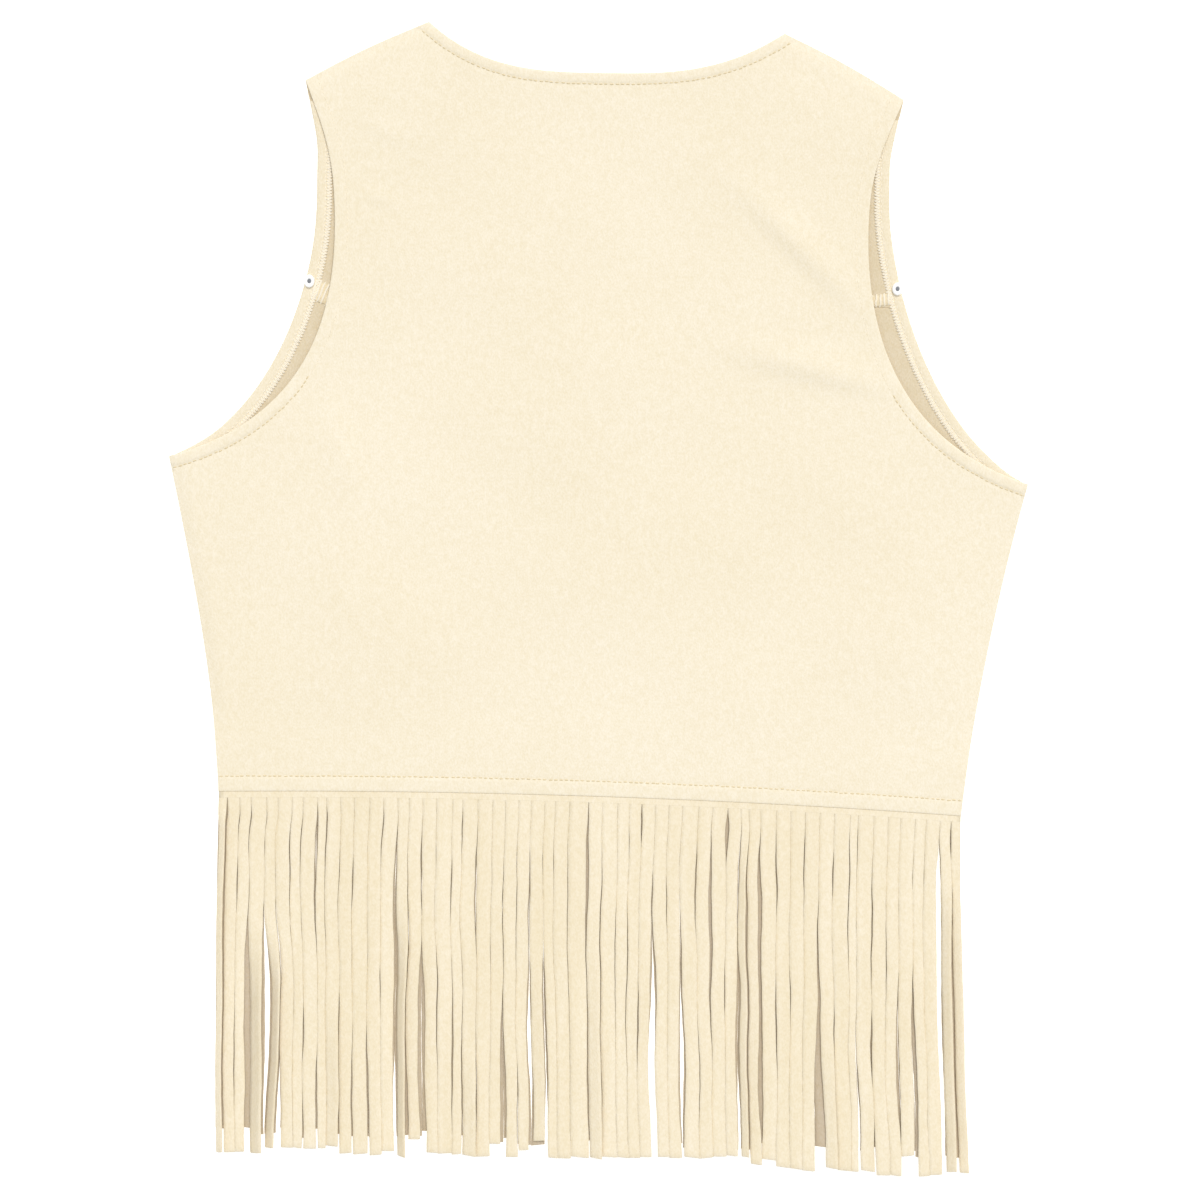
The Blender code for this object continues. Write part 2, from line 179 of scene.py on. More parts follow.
def hem_line(inner, outer, steps=160):
    across = np.linspace(inner, outer, steps + 1)
    return np.column_stack([across, hem_height(across)])


def side_line():
    """The side edge of a half cut, from the hem up to the pit."""
    pit, corner = np.array((PIT_HALF, PIT_HEIGHT)), np.array((HEM_HALF, HEM_HEIGHT))
    return bezier(corner, corner + SIDE_HEM_HANDLE, pit + SIDE_PIT_HANDLE, pit)


def armhole_line(cut):
    """The armhole edge of a half cut, from the pit up to the shoulder tip."""
    waist = (cut.waist_half, cut.waist_height)
    lower = bezier((PIT_HALF, PIT_HEIGHT), (PIT_HALF - cut.pit_in, PIT_HEIGHT + cut.pit_up),
                   (cut.waist_half, cut.waist_height - cut.down), waist)
    upper = bezier(waist, (cut.waist_half, cut.waist_height + cut.up),
                   (SHOULDER_HALF - cut.tip_in, SHOULDER_TIP - cut.tip_down),
                   (SHOULDER_HALF, SHOULDER_TIP))
    return joined(lower, upper)


def shoulder_line():
    """The shoulder of a half cut from the neck point to the tip, a little bowed."""
    line = straight((NECK_HALF, NECK_TOP), (SHOULDER_HALF, SHOULDER_TIP))
    line[:, 1] += SHOULDER_BOW * np.sin(np.linspace(0, math.pi, len(line)))
    return line


def neck_line():
    """The back's neck edge from one neck point to the other."""
    across = np.linspace(-NECK_HALF, NECK_HALF, 161)
    share = np.abs(across / NECK_HALF)
    rise = (NECK_TOP - NECK_BOTTOM) * share**NECK_POWER
    return np.column_stack([across, NECK_BOTTOM + rise + NECK_TILT * across * (1 - share**4)])


def part_of(points, height, above):
    """The part of a rising line above or below a height."""
    crossing = [np.interp(height, points[:, 1], points[:, 0]), height]
    if above:
        return np.vstack([crossing, points[points[:, 1] > height]])
    return np.vstack([points[points[:, 1] < height], crossing])


def vee_at(height):
    """Distance of the front's neck edge from the centre line at a height."""
    share = (height - VEE_HEIGHT) / (NECK_TOP - VEE_HEIGHT)
    return VEE_HALF + (NECK_HALF - VEE_HALF) * share


print("side edge", round(along(side_line())[-1], 3), "m, armhole",
      round(along(armhole_line(BACK_ARMHOLE))[-1], 3), "m")

# %% [markdown]
# ## Laying out a piece of cloth
#
# A plain grid can't give a hem its rounded edge and its pressed stitch line, because
# its rows don't follow the edge. So a piece is laid out as a tailor would mark it:
# rings of points run parallel to the outline, close together where the hem turns,
# and the space inside them is filled with an even grid that blends the four sides.
# At sewn edges the rings lie closer together than at hems, so that a hem's stitch
# line keeps its form right up to the seam.


# %% Rings
RUN_ON = 0.020


def setback(before, after, own, other):
    """How far along a side its inset line starts or ends, seen from their corner."""
    first, second = before[-1] - before[-2], after[1] - after[0]
    turn = math.atan2(first[0] * second[1] - first[1] * second[0], first @ second)
    return (other - own * math.cos(turn)) / math.sin(turn)


def run_on(line):
    """The line with a straight piece added at each end."""
    before, after = line[0] - line[1], line[-1] - line[-2]
    before, after = (end * RUN_ON / np.linalg.norm(end) for end in (before, after))
    return np.vstack([line[0] + before, line, line[-1] + after])


def inset_ring(sides, steps, insets):
    """Points parallel to a closed outline, each side set in by its own distance."""
    ring = []
    for number, points in enumerate(sides):
        before, after = number - 1, (number + 1) % len(sides)
        own = insets[number]
        start = setback(sides[before], points, own, insets[before])
        end = along(points)[-1] - setback(points, sides[after], own, insets[after])
        reach = RUN_ON + np.linspace(start, end, steps[number] + 1)[:-1]
        longer = run_on(points)
        found = at_reach(np.hstack([longer, unit_left(longer)]), reach)
        ring.append(found[:, :2] + own * found[:, 2:])
    return np.vstack(ring)


# %% [markdown]
# ## Filling the space inside the rings
#
# The innermost ring has a bottom, a right, a top and a left stretch. Rows of points
# blend from each stretch to the opposite one, so the grid follows the curved edges.
# Each point keeps its distance to the outline, because every hem is shaped by it.

# %% Filling
Layout = namedtuple("Layout", "places edge_distance faces rim")


def blend(bottom, right, top, left):
    """Rows of points between four edge lines that share their corners."""
    up = np.linspace(0, 1, len(left))[:, None, None]
    share = np.linspace(0, 1, len(bottom))[None, :, None]
    edges = (1 - up) * bottom[None] + up * top[None]
    sides = (1 - share) * left[:, None] + share * right[:, None]
    low = (1 - share) * bottom[0] + share * bottom[-1]
    high = (1 - share) * top[0] + share * top[-1]
    return edges + sides - (1 - up) * low - up * high


def quads(number):
    """Faces between the neighbours in a grid of point numbers."""
    corners = (number[:-1, :-1], number[:-1, 1:], number[1:, 1:], number[1:, :-1])
    return np.column_stack([corner.ravel() for corner in corners])


def distance_to(line, places):
    """Shortest distance in the plane from each place to a line."""
    nearest = np.full(len(places), 1.0)
    for start, end in zip(line[:-1], line[1:]):
        ahead = end - start
        gap = places - start
        share = np.clip(gap @ ahead / (ahead @ ahead), 0, 1)
        nearest = np.minimum(nearest, np.hypot(*(gap - share[:, None] * ahead).T))
    return nearest


def lay_out(sides, steps, groups, rings, ring_share):
    """Rings inside a closed outline, then a grid that fills the space they leave.

    groups says how many sides make the bottom, right, top and left of the piece.
    """
    outer = [inset_ring(sides, steps, [ring * share for share in ring_share]) for ring in rings]
    rim = sum(steps)
    ends = np.cumsum([0] + [sum(steps[sum(groups[:n]):sum(groups[:n + 1])]) for n in range(4)])
    turn = np.arange(rim + 1) % rim
    bottom, right, top, left = (turn[ends[n]:ends[n + 1] + 1] for n in range(4))
    inner = outer[-1]
    rows = blend(inner[bottom], inner[right], inner[top[::-1]], inner[left[::-1]])

    start = rim * (len(rings) - 1)
    number = np.empty(rows.shape[:2], int)
    number[1:-1, 1:-1] = np.arange(number[1:-1, 1:-1].size).reshape(rows[1:-1, 1:-1, 0].shape)
    number += rim * len(rings)
    number[0], number[-1] = start + bottom, start + top[::-1]
    number[:, -1], number[:, 0] = start + right, start + left[::-1]
    places = np.vstack(outer + [rows[1:-1, 1:-1].reshape(-1, 2)])

    faces = []
    here, ahead = turn[:-1], turn[1:]
    for ring in range(len(rings) - 1):
        low, high = ring * rim, (ring + 1) * rim
        faces.append(np.column_stack([low + here, low + ahead, high + ahead, high + here]))
    faces.append(quads(number))
    outline = np.vstack([outer[0], outer[0][:1]])
    return Layout(places, distance_to(outline, places), np.vstack(faces), rim)


def flat_area(outline):
    """Area inside a closed outline of places."""
    x, y = outline.T
    return abs(np.sum(x * np.roll(y, -1) - y * np.roll(x, -1))) / 2


# %% [markdown]
# ## From a layout to cloth
#
# Cloth is a closed body between an upper and a lower surface. Both are drawn
# together at the outline, the way a folded edge rounds off, and the mesh is shaded
# smooth. The two faces have their own finish: suede outside, duller on the wrong side.


# %% Closed cloth
def rounded(top, low, edge_distance, radius):
    """Draw two surfaces together near the edge along a quarter circle."""
    opened = np.sqrt(1 - (1 - np.clip(edge_distance / radius, 0, 1)) ** 2)
    middle = (top + low) / 2
    return middle + (top - middle) * opened, middle + (low - middle) * opened


def new_piece(name, vertices, faces, finishes, face_finish=None):
    """A smooth-shaded mesh object from arrays of points and faces."""
    mesh = bpy.data.meshes.new(name)
    mesh.from_pydata(vertices, [], faces)
    for finish in finishes:
        mesh.materials.append(finish)
    mesh.polygons.foreach_set("use_smooth", np.ones(len(faces), bool))
    if face_finish is not None:
        mesh.polygons.foreach_set("material_index", face_finish)
    mesh.update()
    piece = bpy.data.objects.new(name, mesh)
    bpy.context.scene.collection.objects.link(piece)
    return piece


def cloth(name, layout, top, low, radius, finish_top, finish_low):
    """A closed piece of cloth between two heights over a layout."""
    top, low = rounded(top, low, layout.edge_distance, radius)
    count, rim = len(layout.places), layout.rim
    under = np.arange(count) + count - rim
    under[:rim] = np.arange(rim)
    vertices = np.vstack([
        np.column_stack([layout.places, top]),
        np.column_stack([layout.places, low])[rim:],
    ])
    faces = np.vstack([layout.faces, under[layout.faces[:, ::-1]]])
    sides = np.repeat([0, 1], len(layout.faces))
    return new_piece(name, vertices.tolist(), faces.tolist(), (finish_top, finish_low), sides)


# %% [markdown]
# ## Strips, and joining pieces
#
# A turned strip or a seam allowance is one sheet bent along its length, so it is laid
# out as rows of points and gets its wall from a Solidify modifier. Its normals are
# then worked out in edit mode, because a bent wall can come out inside out.


# %% Strips and joins
def select_only(*pieces):
    bpy.ops.object.select_all(action="DESELECT")
    for piece in pieces:
        piece.select_set(True)
    bpy.context.view_layer.objects.active = pieces[0]


def face_outwards(piece):
    """Make every closed part of a mesh face outwards."""
    select_only(piece)
    bpy.ops.object.mode_set(mode="EDIT")
    bpy.ops.mesh.select_all(action="SELECT")
    bpy.ops.mesh.normals_make_consistent(inside=False)
    bpy.ops.object.mode_set(mode="OBJECT")


def raised(line, height):
    """A line of places lifted to one height."""
    return np.column_stack([line, np.full(len(line), height)])


def band(name, rows, thickness, finish):
    """A strip of cloth through rows of points, given its wall by a Solidify modifier."""
    high, wide = len(rows), len(rows[0])
    number = np.arange(high * wide).reshape(high, wide)
    vertices = np.reshape(rows, (-1, 3)).tolist()
    piece = new_piece(name, vertices, quads(number).tolist(), (finish,))
    select_only(piece)
    wall = piece.modifiers.new("wall", "SOLIDIFY")
    wall.thickness, wall.offset = thickness, 0.0
    bpy.ops.object.modifier_apply(modifier=wall.name)
    face_outwards(piece)
    return piece


def join(name, *pieces):
    select_only(*pieces)
    bpy.ops.object.join()
    pieces[0].name = name
    return pieces[0]


# %% [markdown]
# ## Suede, thread and bead finishes
#
# Suede cloth has a short nap that lies in soft blotches a few millimetres wide, with
# fine fibres between them. It is paler outside than on its wrong side. The fringe's
# wrong side is the darkest, because its colour also holds painted shade of the gaps
# between strands. The colours are given, and noise on the piece's own coordinates
# breaks them up.

# %% Colours
SUEDE = (0.939, 0.864, 0.719)
SUEDE_INSIDE = (0.780, 0.680, 0.518)
SUEDE_TURNED = (0.925, 0.842, 0.685)
SUEDE_SEAM = (0.850, 0.750, 0.565)
SUEDE_FRINGE = (0.941, 0.853, 0.691)
# Wrong side of the fringe, darkened further with painted shade of the gaps between strands
FRINGE_INSIDE_AND_SHADE = (0.640, 0.550, 0.440)
THREAD = (0.780, 0.660, 0.430)
PALE_THREAD = (0.915, 0.825, 0.655)
OVERLOCK_THREAD = (0.935, 0.855, 0.700)
BEAD = (0.960, 0.960, 0.950)
# Dark knot: painted shade of the bead's hole
KNOT_AND_HOLE_SHADE = (0.200, 0.210, 0.230)
# Where the nap lies dark it turns towards tan, so blue falls most
TAN = np.array((0.55, 0.75, 1.35))
# The nap is brushed lengthwise, so its blotches are longer than they are wide
NAP_STRETCH, STRAND_STRETCH = 0.6, 0.06

# %% [markdown]
# ## Layers of noise
#
# A layer is a noise turned by a colour ramp into a tint between tan and white, and
# multiplied with what lies below it. Broad clouds, blotches and fibres are three such
# layers of different scale, and strands get a fourth one that runs along them.

# %% Noise layers
# Scale and detail of each kind of noise
CLOUDS, BLOTCHES, FIBRES, STREAKS = (7, 3), (340, 4), (1150, 2), (125, 1)
TINT_RANGE = (0.32, 0.68)


def noise_layer(tree, coordinates, kind):
    noise = tree.nodes.new("ShaderNodeTexNoise")
    noise.inputs["Scale"].default_value, noise.inputs["Detail"].default_value = kind
    tree.links.new(coordinates, noise.inputs["Vector"])
    return noise.outputs["Fac"]


def tint_layer(tree, below, noise, depth):
    """Darken a colour towards tan where a noise layer is low."""
    ramp = tree.nodes.new("ShaderNodeValToRGB")
    low, high = ramp.color_ramp.elements
    low.position, high.position = TINT_RANGE
    low.color = (*(1 - depth * TAN), 1.0)
    high.color = (1, 1, 1, 1)
    tree.links.new(noise, ramp.inputs["Fac"])
    mix = tree.nodes.new("ShaderNodeMix")
    mix.data_type, mix.blend_type = "RGBA", "MULTIPLY"
    mix.inputs["Factor"].default_value = 1.0
    if isinstance(below, tuple):
        mix.inputs["A"].default_value = below
    else:
        tree.links.new(below, mix.inputs["A"])
    tree.links.new(ramp.outputs["Color"], mix.inputs["B"])
    return mix.outputs["Result"]


def stretched(tree, coordinates, lengthwise):
    """Coordinates that make a noise longer along Y."""
    mapping = tree.nodes.new("ShaderNodeMapping")
    mapping.inputs["Scale"].default_value = (1, lengthwise, 1)
    tree.links.new(coordinates, mapping.inputs["Vector"])
    return mapping.outputs["Vector"]


# %% [markdown]
# ## The suede
#
# The finish is rough with almost no gloss. The fine noise also lifts the surface a
# little, as fibres do, and a touch of sheen brightens the nap at low angles. One
# function makes every suede, from its colour and how much each layer darkens it.

# %% Suede
NAP_HEIGHT = 0.0003


def suede(name, colour, cloud=0.045, blotch=0.06, fibre=0.10, bump=0.6, streak=0.0):
    """A napped cloth finish; each layer is given by how much it darkens the colour."""
    finish = bpy.data.materials.new(name)
    finish.use_nodes = True
    tree = finish.node_tree
    shader = tree.nodes["Principled BSDF"]
    shader.inputs["Roughness"].default_value = 0.95
    shader.inputs["Specular IOR Level"].default_value = 0.10
    shader.inputs["Sheen Weight"].default_value = 0.08
    shader.inputs["Sheen Roughness"].default_value = 0.5
    coordinates = tree.nodes.new("ShaderNodeTexCoord").outputs["Object"]
    napped = stretched(tree, coordinates, NAP_STRETCH)
    tone = tint_layer(tree, (*colour, 1.0), noise_layer(tree, coordinates, CLOUDS), cloud)
    tone = tint_layer(tree, tone, noise_layer(tree, napped, BLOTCHES), blotch)
    fine = noise_layer(tree, napped, FIBRES)
    tone = tint_layer(tree, tone, fine, fibre)
    if streak:
        along_strands = stretched(tree, coordinates, STRAND_STRETCH)
        tone = tint_layer(tree, tone, noise_layer(tree, along_strands, STREAKS), streak)
    tree.links.new(tone, shader.inputs["Base Color"])
    lift = tree.nodes.new("ShaderNodeBump")
    lift.inputs["Strength"].default_value = bump
    lift.inputs["Distance"].default_value = NAP_HEIGHT
    tree.links.new(fine, lift.inputs["Height"])
    tree.links.new(lift.outputs["Normal"], shader.inputs["Normal"])
    return finish


# %% [markdown]
# ## Mixing the finishes
#
# Six suedes differ in colour and in how strongly their layers show. Thread, bead and
# knot are too small for a pattern, so theirs are plain. The bead glows faintly: a
# painted glow that lifts the shade on it, so it looks as bleached white as it is. The
# knot's dark grey is painted shade of the bead's hole.


# %% Mix the finishes
def plain(name, colour, roughness, emission=0.0):
    finish = bpy.data.materials.new(name)
    finish.use_nodes = True
    shader = finish.node_tree.nodes["Principled BSDF"]
    shader.inputs["Base Color"].default_value = (*colour, 1.0)
    shader.inputs["Roughness"].default_value = roughness
    shader.inputs["Emission Color"].default_value = (1, 1, 1, 1)
    shader.inputs["Emission Strength"].default_value = emission
    return finish


suede_outside = suede("cream_suede", SUEDE)
suede_inside = suede("suede_wrong_side", SUEDE_INSIDE, fibre=0.13)
suede_turned = suede("turned_suede", SUEDE_TURNED, fibre=0.12)
suede_seam = suede("seam_allowance", SUEDE_SEAM, fibre=0.12)
suede_fringe = suede("cream_fringe", SUEDE_FRINGE, streak=0.055)
# The fringe's wrong side: its own colour plus painted shade of the gaps between strands
fringe_inside_and_shade = suede("fringe_wrong_side_and_shade", FRINGE_INSIDE_AND_SHADE, fibre=0.12, streak=0.08)
thread_finish = plain("thread", THREAD, 0.8)
pale_thread = plain("pale_thread", PALE_THREAD, 0.8)
overlock_thread = plain("overlock_thread", OVERLOCK_THREAD, 0.8)
# The faint glow is painted light that lifts the shade on the bead
glowing_bead_finish = plain("white_bead", BEAD, 0.35, emission=0.10)
# Painted shade of the bead's hole, carried by a dark knot
knot_and_hole_shade_finish = plain("bead_knot_hole_shade", KNOT_AND_HOLE_SHADE, 0.6)
print("finishes:", suede_outside.name, "and", len(bpy.data.materials) - 1, "more")

# %% [markdown]
# ## How the layers lie, and the soft folds
#
# The fronts lie on the floor. The back rests on them: it is sewn down at the sides
# and shoulders and rises a little between them, over the turned hems of the fronts
# and, at the bottom, over the fringe that is sewn in. A few soft folds cross it.

# %% Folds and waves
Fold = namedtuple("Fold", "x y length turn lit_half dark_half height")
FOLDS = (
    Fold(0.107, 0.199, 0.085, -43, 0.011, 0.0065, 0.0019),
    Fold(0.117, 0.130, 0.078, -12, 0.011, 0.0065, 0.0017),
    Fold(-0.127, 0.217, 0.018, -12, 0.004, 0.0022, 0.0006),
    Fold(-0.125, 0.255, 0.030, -20, 0.006, 0.0040, 0.0004),
    Fold(-0.144, 0.078, 0.056, -76, 0.007, 0.010, 0.0008),
    Fold(-0.130, -0.020, 0.090, -75, 0.030, 0.030, 0.0009),
    Fold(0.165, -0.010, 0.110, 72, 0.034, 0.034, 0.0009),
    Fold(0.010, 0.120, 0.200, 60, 0.050, 0.050, 0.0006),
)
# Slow waves of cloth that isn't pulled tight: length, direction and height
WAVES = (
    (0.145, 25, 0.00022), (0.098, 112, 0.00018), (0.061, 61, 0.00010), (0.023, 148, 0.00003),
)


def fold_height(places):
    """How far the soft folds lift the back at each place."""
    lift = np.zeros(len(places))
    for fold in FOLDS:
        turn = math.radians(fold.turn)
        x, y = places[:, 0] - fold.x, places[:, 1] - fold.y
        ahead = x * math.cos(turn) + y * math.sin(turn)
        aside = y * math.cos(turn) - x * math.sin(turn)
        half = np.where(aside > 0, fold.lit_half, fold.dark_half)
        lift += fold.height * np.exp(-((ahead / fold.length * 2) ** 2) - (aside / half) ** 2)
    return lift


def wave_height(places):
    lift = np.zeros(len(places))
    for number, (length, turn, height) in enumerate(WAVES):
        turn = math.radians(turn)
        ahead = places[:, 0] * math.cos(turn) + places[:, 1] * math.sin(turn)
        lift += height * (1 + np.sin(2 * math.pi * ahead / length + number))
    return lift


print("folds:", len(FOLDS), "and", len(WAVES), "waves, up to",
      round(1000 * max(fold.height for fold in FOLDS), 1), "mm high")

# %% [markdown]
# ## Hems, and the height of the back
#
# A turned hem shows as a small step where the cloth is double, a soft puff and the
# groove that its stitches press. Those three are added to the height of the back by
# the distance from its edge. At the armholes the hem stands out only near the pits.

# %% Heights of the back
WALL = 0.0007
SEAM_LEVEL, SEAM_RISE = 0.00115, 0.0070
BACK_LEVEL = 0.0022
BACK_HEM_LEVEL, HEM_HOLD, HEM_FALL = 0.00298, 0.020, 0.030
FOLD_START = 0.030
HEM_STEP, GROOVE_HALF = 0.0012, 0.00085

Hem = namedtuple("Hem", "width rise puff groove")
NECK_HEM = Hem(0.0063, 0.00035, 0.00015, 0.00035)
ARMHOLE_HEM, PIT_RELIEF, PIT_SPAN = Hem(0.0070, 0.00005, 0.00004, 0.00006), 6.0, (0.078, 0.135)
BOTTOM_HEM = Hem(0.0085, 0.00008, 0.00006, 0.00026)


def hem_relief(distance, hem):
    """Height that a turned hem adds at a distance from its fold."""
    step = 1 - smooth((distance - hem.width) / HEM_STEP)
    puff = np.sin(math.pi * np.clip(distance / hem.width, 0, 1))
    groove = np.exp(-(((distance - hem.width) / GROOVE_HALF) ** 2))
    return hem.rise * step + hem.puff * puff - hem.groove * groove


def mirrored(line):
    """A half-cut line placed on both sides of the centre line."""
    return [placed(line, side) for side in SIDES.values()]


BACK_SEAMS = mirrored(side_line()) + mirrored(shoulder_line())
BACK_ARMHOLES = mirrored(armhole_line(BACK_ARMHOLE))
BACK_NECK = placed(neck_line())
BACK_HEM = placed(hem_line(-HEM_HALF, HEM_HALF))


def back_surfaces(places):
    """Upper and lower height of the back at each place."""
    from_seam = np.min([distance_to(line, places) for line in BACK_SEAMS], axis=0)
    from_armhole = np.min([distance_to(line, places) for line in BACK_ARMHOLES], axis=0)
    from_hem = distance_to(BACK_HEM, places)
    low = SEAM_LEVEL + (BACK_LEVEL - SEAM_LEVEL) * smooth(from_seam / SEAM_RISE)
    low += (fold_height(places) + wave_height(places)) * smooth(from_seam / FOLD_START)
    low += (BACK_HEM_LEVEL - low) * (1 - smooth((from_hem - HEM_HOLD) / HEM_FALL))
    near_pit = 1 - smooth(span_share(places[:, 1], PIT_SPAN))
    relief = hem_relief(from_armhole, ARMHOLE_HEM) * (1 + PIT_RELIEF * near_pit)
    relief += hem_relief(from_hem, BOTTOM_HEM)
    relief += hem_relief(distance_to(BACK_NECK, places), NECK_HEM)
    return low + WALL + relief, low


# %% [markdown]
# ## The back
#
# The back is cut in one piece. Its neck and armholes are turned in and stitched,
# and so is the bottom over the top of the fringe. Only the neck, the armholes and
# the bottom are hems; the sides and the shoulders are plain seams with a soft edge.

# %% Build the back
BACK_RINGS = np.array([
    0, 0.06, 0.2, 0.42, 0.75, 1.2, 2.0, 3.0, 4.2, 5.2, 5.8, 6.3, 6.8, 7.4, 8.1, 8.7, 9.3,
    10.2, 11.5, 13.5,
]) / 1000
SEAM_SHARE = 0.25
SIDE_STEPS, ARMHOLE_STEPS, SHOULDER_STEPS, NECK_STEPS = 63, 83, 28, 84
BACK_EDGE_RADIUS = 0.0014

back_sides = [
    BACK_HEM,
    placed(side_line()), placed(armhole_line(BACK_ARMHOLE)),
    placed(shoulder_line()[::-1]), BACK_NECK[::-1], placed(shoulder_line(), -1),
    placed(armhole_line(BACK_ARMHOLE)[::-1], -1), placed(side_line()[::-1], -1),
]
back_steps = [2 * SHOULDER_STEPS + NECK_STEPS, SIDE_STEPS, ARMHOLE_STEPS, SHOULDER_STEPS,
              NECK_STEPS, SHOULDER_STEPS, ARMHOLE_STEPS, SIDE_STEPS]
back_share = [1, SEAM_SHARE, 1, SEAM_SHARE, 1, SEAM_SHARE, 1, SEAM_SHARE]
back_layout = lay_out(back_sides, back_steps, (1, 2, 3, 2), BACK_RINGS, back_share)
back_top, back_low = back_surfaces(back_layout.places)
back = cloth("back", back_layout, back_top, back_low, BACK_EDGE_RADIUS,
             suede_outside, suede_inside)

# %% [markdown]
# ## The fronts and their yokes
#
# The fronts lie with the right side down, so their wrong side faces up. The armhole
# edge is drawn in by about 2 mm, because the hem strip that is turned inwards there
# is a piece of its own and wraps round that edge. Stitches press grooves underneath.

# %% Pieces of a front
FRONT_RINGS = np.array([0, 0.1, 0.3, 0.6, 1.0, 3.0, 5.6, 6.6, 7.6, 8.7, 9.6, 11.0]) / 1000
FRONT_EDGE_RADIUS = 0.0005
FRONT_STEPS, FRONT_SIDE_STEPS, FRONT_ARMHOLE_STEPS = 36, 36, 22
OPENING_STEPS, YOKE_WIDE_STEPS, YOKE_HIGH_STEPS = 40, 24, 28
TURN_INSET, PIT_RAMP, TIP_RAMP = 0.0019, (0.002, 0.009), (0.010, 0.020)
SEAM_GAP = 0.00002
FRONT_WALL, UNDER_GROOVE = 0.0010, 0.00022
FRONT_STITCH = {"hem": 0.0087, "opening": 0.0080, "armhole": 0.0058}


def front_armhole():
    """The front's armhole edge, drawn in where the turned strip wraps round it."""
    line = armhole_line(FRONT_ARMHOLE)
    reach = along(line)
    from_pit = smooth(span_share(reach, PIT_RAMP))
    return inset(line, TURN_INSET * from_pit * smooth(span_share(reach[-1] - reach, TIP_RAMP)))


def counter_clockwise(lines, groups, side):
    """Place half-cut lines on a side, kept counter-clockwise and bottom first."""
    if side > 0:
        return [slipped(line) for line in lines], groups, list(range(len(lines)))
    order = [0] + list(range(len(lines) - 1, 0, -1))
    bottom, right, top, left = groups
    return [slipped(lines[n][::-1], -1) for n in order], (bottom, left, top, right), order


def front_piece(name, lines, steps, groups, side, stitched):
    """A plain closed front piece with stitch grooves on its underside."""
    sides, groups, order = counter_clockwise(lines, groups, SIDES[side])
    layout = lay_out(sides, [steps[n] for n in order], groups, FRONT_RINGS, [1] * len(sides))
    groove = np.zeros(len(layout.places))
    for line, distance in stitched:
        from_line = distance_to(slipped(line, SIDES[side]), layout.places)
        groove += UNDER_GROOVE * np.exp(-(((from_line - distance) / GROOVE_HALF) ** 2))
    top = np.full(len(layout.places), FRONT_WALL)
    piece = cloth(f"{name}_{side}", layout, top, groove, FRONT_EDGE_RADIUS,
                  suede_inside, suede_outside)
    return piece, flat_area(layout.places[:layout.rim])


# %% [markdown]
# ## Cutting the fronts and yokes
#
# Each front is cut in two along the yoke seam, a straight line at one height. A gap
# far thinner than a thread is left between the two pieces, so that they don't share
# an edge and yet no light shows through the seam.

# %% Cut the fronts
front_edge = front_armhole()
lower_end, yoke_start = YOKE_SEAM_HEIGHT - SEAM_GAP, YOKE_SEAM_HEIGHT + SEAM_GAP
lower_armhole = part_of(front_edge, lower_end, above=False)
upper_armhole = part_of(front_edge, yoke_start, above=True)
front_hem = hem_line(VEE_HALF, HEM_HALF)
opening = straight((VEE_HALF, VEE_HEIGHT), (VEE_HALF, hem_height(VEE_HALF)))
lower_vee = straight((vee_at(lower_end), lower_end), (VEE_HALF, VEE_HEIGHT))
upper_vee = straight((NECK_HALF, NECK_TOP), (vee_at(yoke_start), yoke_start))
lower_seam = straight(lower_armhole[-1], lower_vee[0])
upper_seam = straight(upper_vee[-1], upper_armhole[0])

areas = {}
fronts, yokes = {}, {}
for side in SIDES:
    fronts[side], areas["front"] = front_piece(
        "front", [front_hem, side_line(), lower_armhole, lower_seam, lower_vee, opening],
        [FRONT_STEPS, FRONT_SIDE_STEPS, FRONT_ARMHOLE_STEPS, FRONT_STEPS,
         FRONT_SIDE_STEPS + FRONT_ARMHOLE_STEPS - OPENING_STEPS, OPENING_STEPS],
        (1, 2, 1, 2), side,
        [(front_hem, FRONT_STITCH["hem"]), (joined(lower_vee, opening), FRONT_STITCH["opening"]),
         (lower_armhole, FRONT_STITCH["armhole"])],
    )
    yokes[side], areas["yoke"] = front_piece(
        "yoke", [upper_seam, upper_armhole, shoulder_line()[::-1], upper_vee],
        [YOKE_WIDE_STEPS, YOKE_HIGH_STEPS, YOKE_WIDE_STEPS, YOKE_HIGH_STEPS],
        (1, 1, 1, 1), side,
        [(upper_vee, FRONT_STITCH["opening"]), (upper_armhole, FRONT_STITCH["armhole"])],
    )
print("front area", round(areas["front"], 4), "yoke area", round(areas["yoke"], 4), "m2")

# %% [markdown]
# ## The turned armhole hems and the yoke seams inside
#
# Inside each armhole the edge of the front is turned over and shows as a paler
# strip. It is bent from one sheet: the profile below starts under the edge, goes
# round it and lies down on the wrong side. The allowance of the yoke seam is pressed
# flat, from a soft rise at the seam to a raw edge that the overlocking holds.

# %% Build the strips and allowances
# Distance in from the armhole line and height, in millimetres
STRIP_PROFILE = np.array([
    (1.7, 0.42), (1.0, 0.50), (0.58, 0.70), (0.45, 0.98), (0.58, 1.26), (1.0, 1.44), (1.8, 1.54),
    (2.9, 1.60), (4.0, 1.58), (4.8, 1.44), (5.3, 1.18), (5.9, 1.30), (6.9, 1.28), (7.6, 1.06),
    (8.1, 0.80),
]) / 1000
STRIP_WALL, STRIP_SPACING = 0.0005, 0.0025
# What the strip leaves free at the pit and at the shoulder tip
STRIP_ENDS = (0.0045, 0.0120)
# How far the allowances reach below and above the seam, and how they tilt with it
SEAM_REACH = {"left": (-0.0114, 0.0001), "right": (-0.0024, 0.0040)}
SEAM_TILT, SEAM_BEND = {"left": 0.0058, "right": 0.0045}, {"left": 12, "right": 6}
